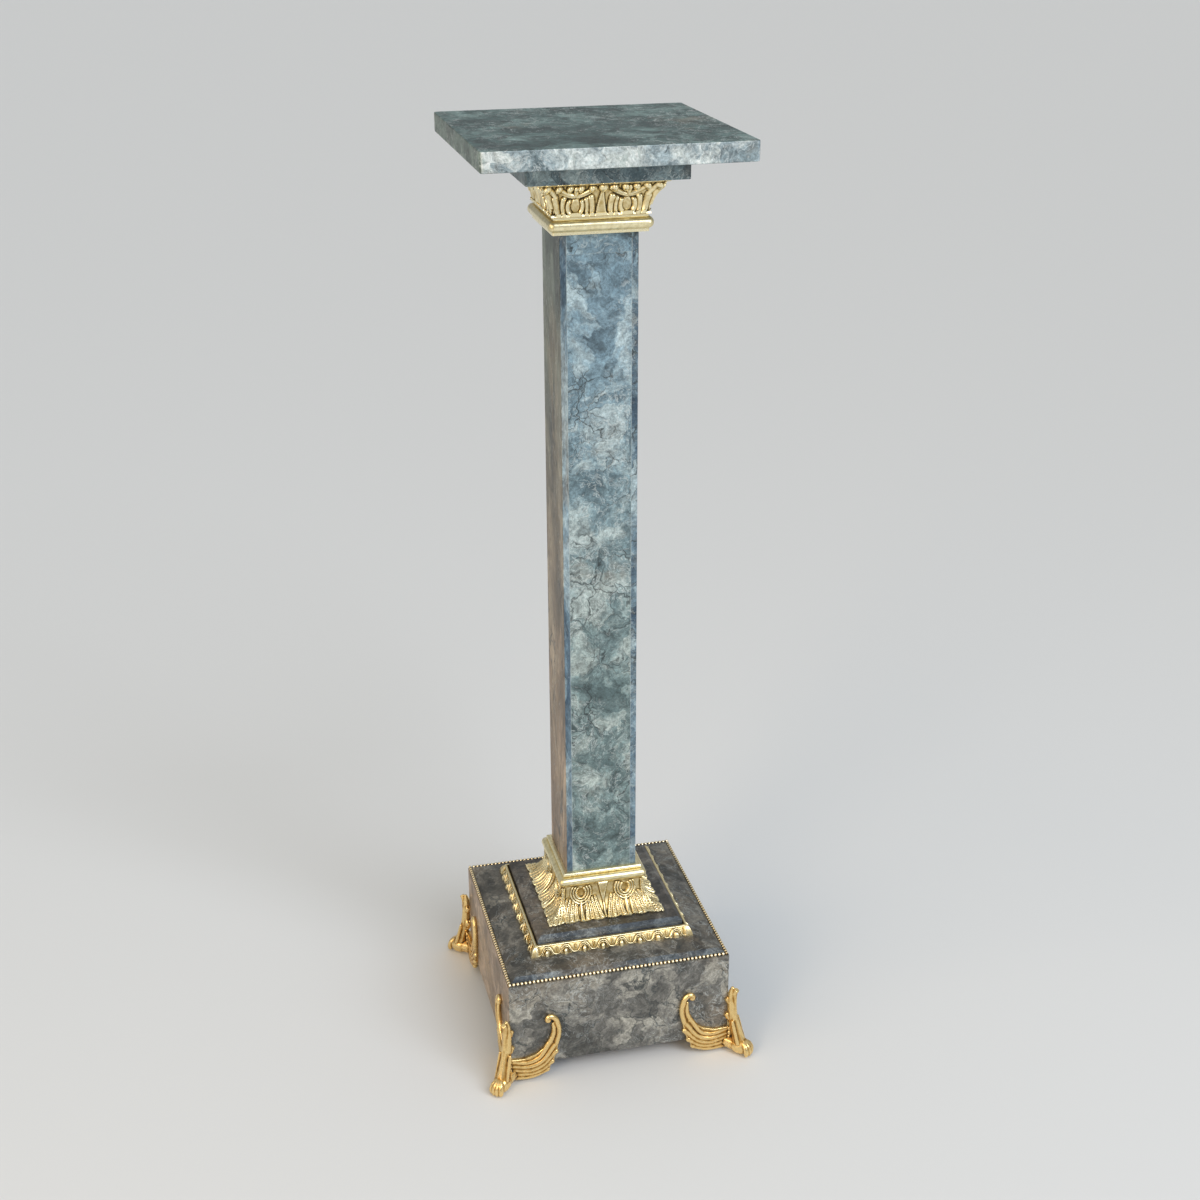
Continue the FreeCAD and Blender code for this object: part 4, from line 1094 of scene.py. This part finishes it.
def capital_relief(x, t):
    """The carving of one side of the capital, the same left and right of its middle."""
    x = np.abs(x)
    t = t - carving_start
    layers = [
        # Plump lobes between the tongue and the eye, and out from the eye to the corner
        ridge(x, t, (9.6, 2.5), (8.6, 12.0), (11.0, 21.0), (2.6, 3.4), 2.8),
        ridge(x, t, (15.0, 3.0), (13.6, 12.0), (15.4, 19.0), (2.0, 2.8), 2.6),
        ridge(x, t, (37.6, 3.0), (39.4, 12.0), (38.4, 20.0), (2.2, 3.0), 2.6),
        ridge(x, t, (43.0, 2.5), (45.6, 12.0), (47.6, 21.0), (2.4, 3.4), 2.8),
        # The eye's bright rim
        oval(x, t, (26.2, 12.4), (7.4, 9.8), -210, 30, 2.5, 3.3),
        # Lobes that fork from over the eye to the middle tip and to the corner
        ridge(x, t, (24.6, 23.4), (17.0, 25.4), (9.4, 33.0), (2.4, 3.4), 3.2, hollow=0.35),
        ridge(x, t, (27.8, 23.4), (36.0, 25.0), (44.6, 32.6), (2.4, 3.6), 3.2, hollow=0.35),
        ridge(x, t, (26.2, 25.0), (26.2, 28.0), (26.4, 33.0), (2.0, 3.4), 2.8),
        # Long tips that run out to the corner
        ridge(x, t, (48.6, 12.0), (52.0, 24.0), (60.0, 33.6), (2.0, 3.4), 3.4),
        ridge(x, t, (46.0, 22.0), (50.0, 29.0), (54.0, 34.0), (1.8, 2.6), 2.8),
    ]
    for place, width in ((0.0, 5.0), (11.4, 3.6), (22.4, 3.8), (33.2, 3.8), (44.4, 3.8), (56.0, 4.4),
                         (66.0, 4.4)):
        layers.append(ridge(x, t, (place, 31.6), (place, 33.0), (place, 34.6), (width * 0.7, width), 4.2))
    height = np.zeros_like(x)
    for layer in layers:
        height = np.maximum(height, layer)
    tongue_half_width = 1.4 + 5.2 * (1 - t / 30)
    tongue = 1.8 * np.clip((tongue_half_width - x) / 0.7, 0, 1) * (t < 30) * (t > 0.4)
    height = np.maximum(height, tongue)
    inside_eye = np.clip((1 - ((x - 26.2) / 5.2) ** 2 - ((t - 12.6) / 8.0) ** 2) * 3, 0, 1)
    height = height * (1 - inside_eye) + 1.1 * inside_eye
    return (height - 0.9) * np.clip(t / 0.8, 0, 1) * np.clip((capital_fade - t) / 1.5, 0, 1)


def capital_notch(x, height):
    """How far the lip draws in between the leaf tips."""
    high = np.clip((height - capital_top + 9.0) / 9.0, 0, 1)
    return 3.0 * high ** 1.5 * np.abs(np.sin(math.pi * x / 11.4)) ** 1.5 * (np.abs(x) < 62)


capital_low, capital_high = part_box("capital_acanthus_mount")
capital_bottom = capital_low.z / mm
capital_top = capital_high.z / mm
capital_lip = capital_high.x / mm
capital_neck = 49.0
capital_fillet = 51.0
neck_level = capital_bottom + 5.5
capital_lip_level = capital_top - 3.0
carving_start = 5.5
capital_fade = 40.0
face = np.vstack((
    np.array([(capital_neck - 0.5, capital_bottom), (capital_neck - 0.5, capital_bottom + 3.0),
              (capital_fillet, capital_bottom + 3.0), (capital_fillet, neck_level)]),
    hollow_curve((capital_neck, neck_level), (capital_lip, capital_lip_level), 64),
    walk(((capital_lip, capital_lip_level), (capital_lip, capital_top)), 0.8)[1:],
))
inside = np.vstack((
    np.array([(capital_lip - mount_wall, capital_top)]),
    hollow_curve((capital_neck - mount_wall, neck_level),
                 (capital_lip - mount_wall, capital_lip_level), 12)[::-1],
    np.array([(capital_neck - mount_wall, capital_bottom)]),
))
capital = square_ring("capital", np.vstack((face, inside)), len(face), capital_relief, carving_columns,
                      capital_notch)
store_relief(capital, rounds=12, full_depth=0.5 * mm)
place_copies(capital, ["acanthus_capital"], [0.0], [["capital_acanthus_mount"]], mount_gilding)


# ---- Abacus and top slab ----
# A block and a 20 mm slab of greener marble, ground flat, with the arrises just eased. Two beech
# dowels locate the slab on the block.

finish("abacus_block", marble(
    "polished blue marble, abacus", ("#3c5058", "#62757b", "#93a3a4"), shift=(16.3, 0.4, 2.2),
    turn=(0.3, 0.5, 0.4), vein_share=0.6, crackle_share=0.7))
# The top slab's front face is painted lighter, a painted reflection of glare, and its left face darker, painted
# shade.
finish("top_slab", marble(
    "polished sea-green marble", ("#263a3a", "#3d5554", "#627a78"), shift=(18.1, 1.6, 0.5),
    turn=(0.2, 0.3, 1.1), brown_share=0.2, vein_share=0.3, crackle_share=0.55,
    regions=((facing, (front,), ("#5b6c72", "#84949a", "#b9c3c2")),
             (facing, ((-1, 0, 0),), ("#35443f", "#4c5e59", "#6c7d77")))))
finish("top_slab_dowels", beech)
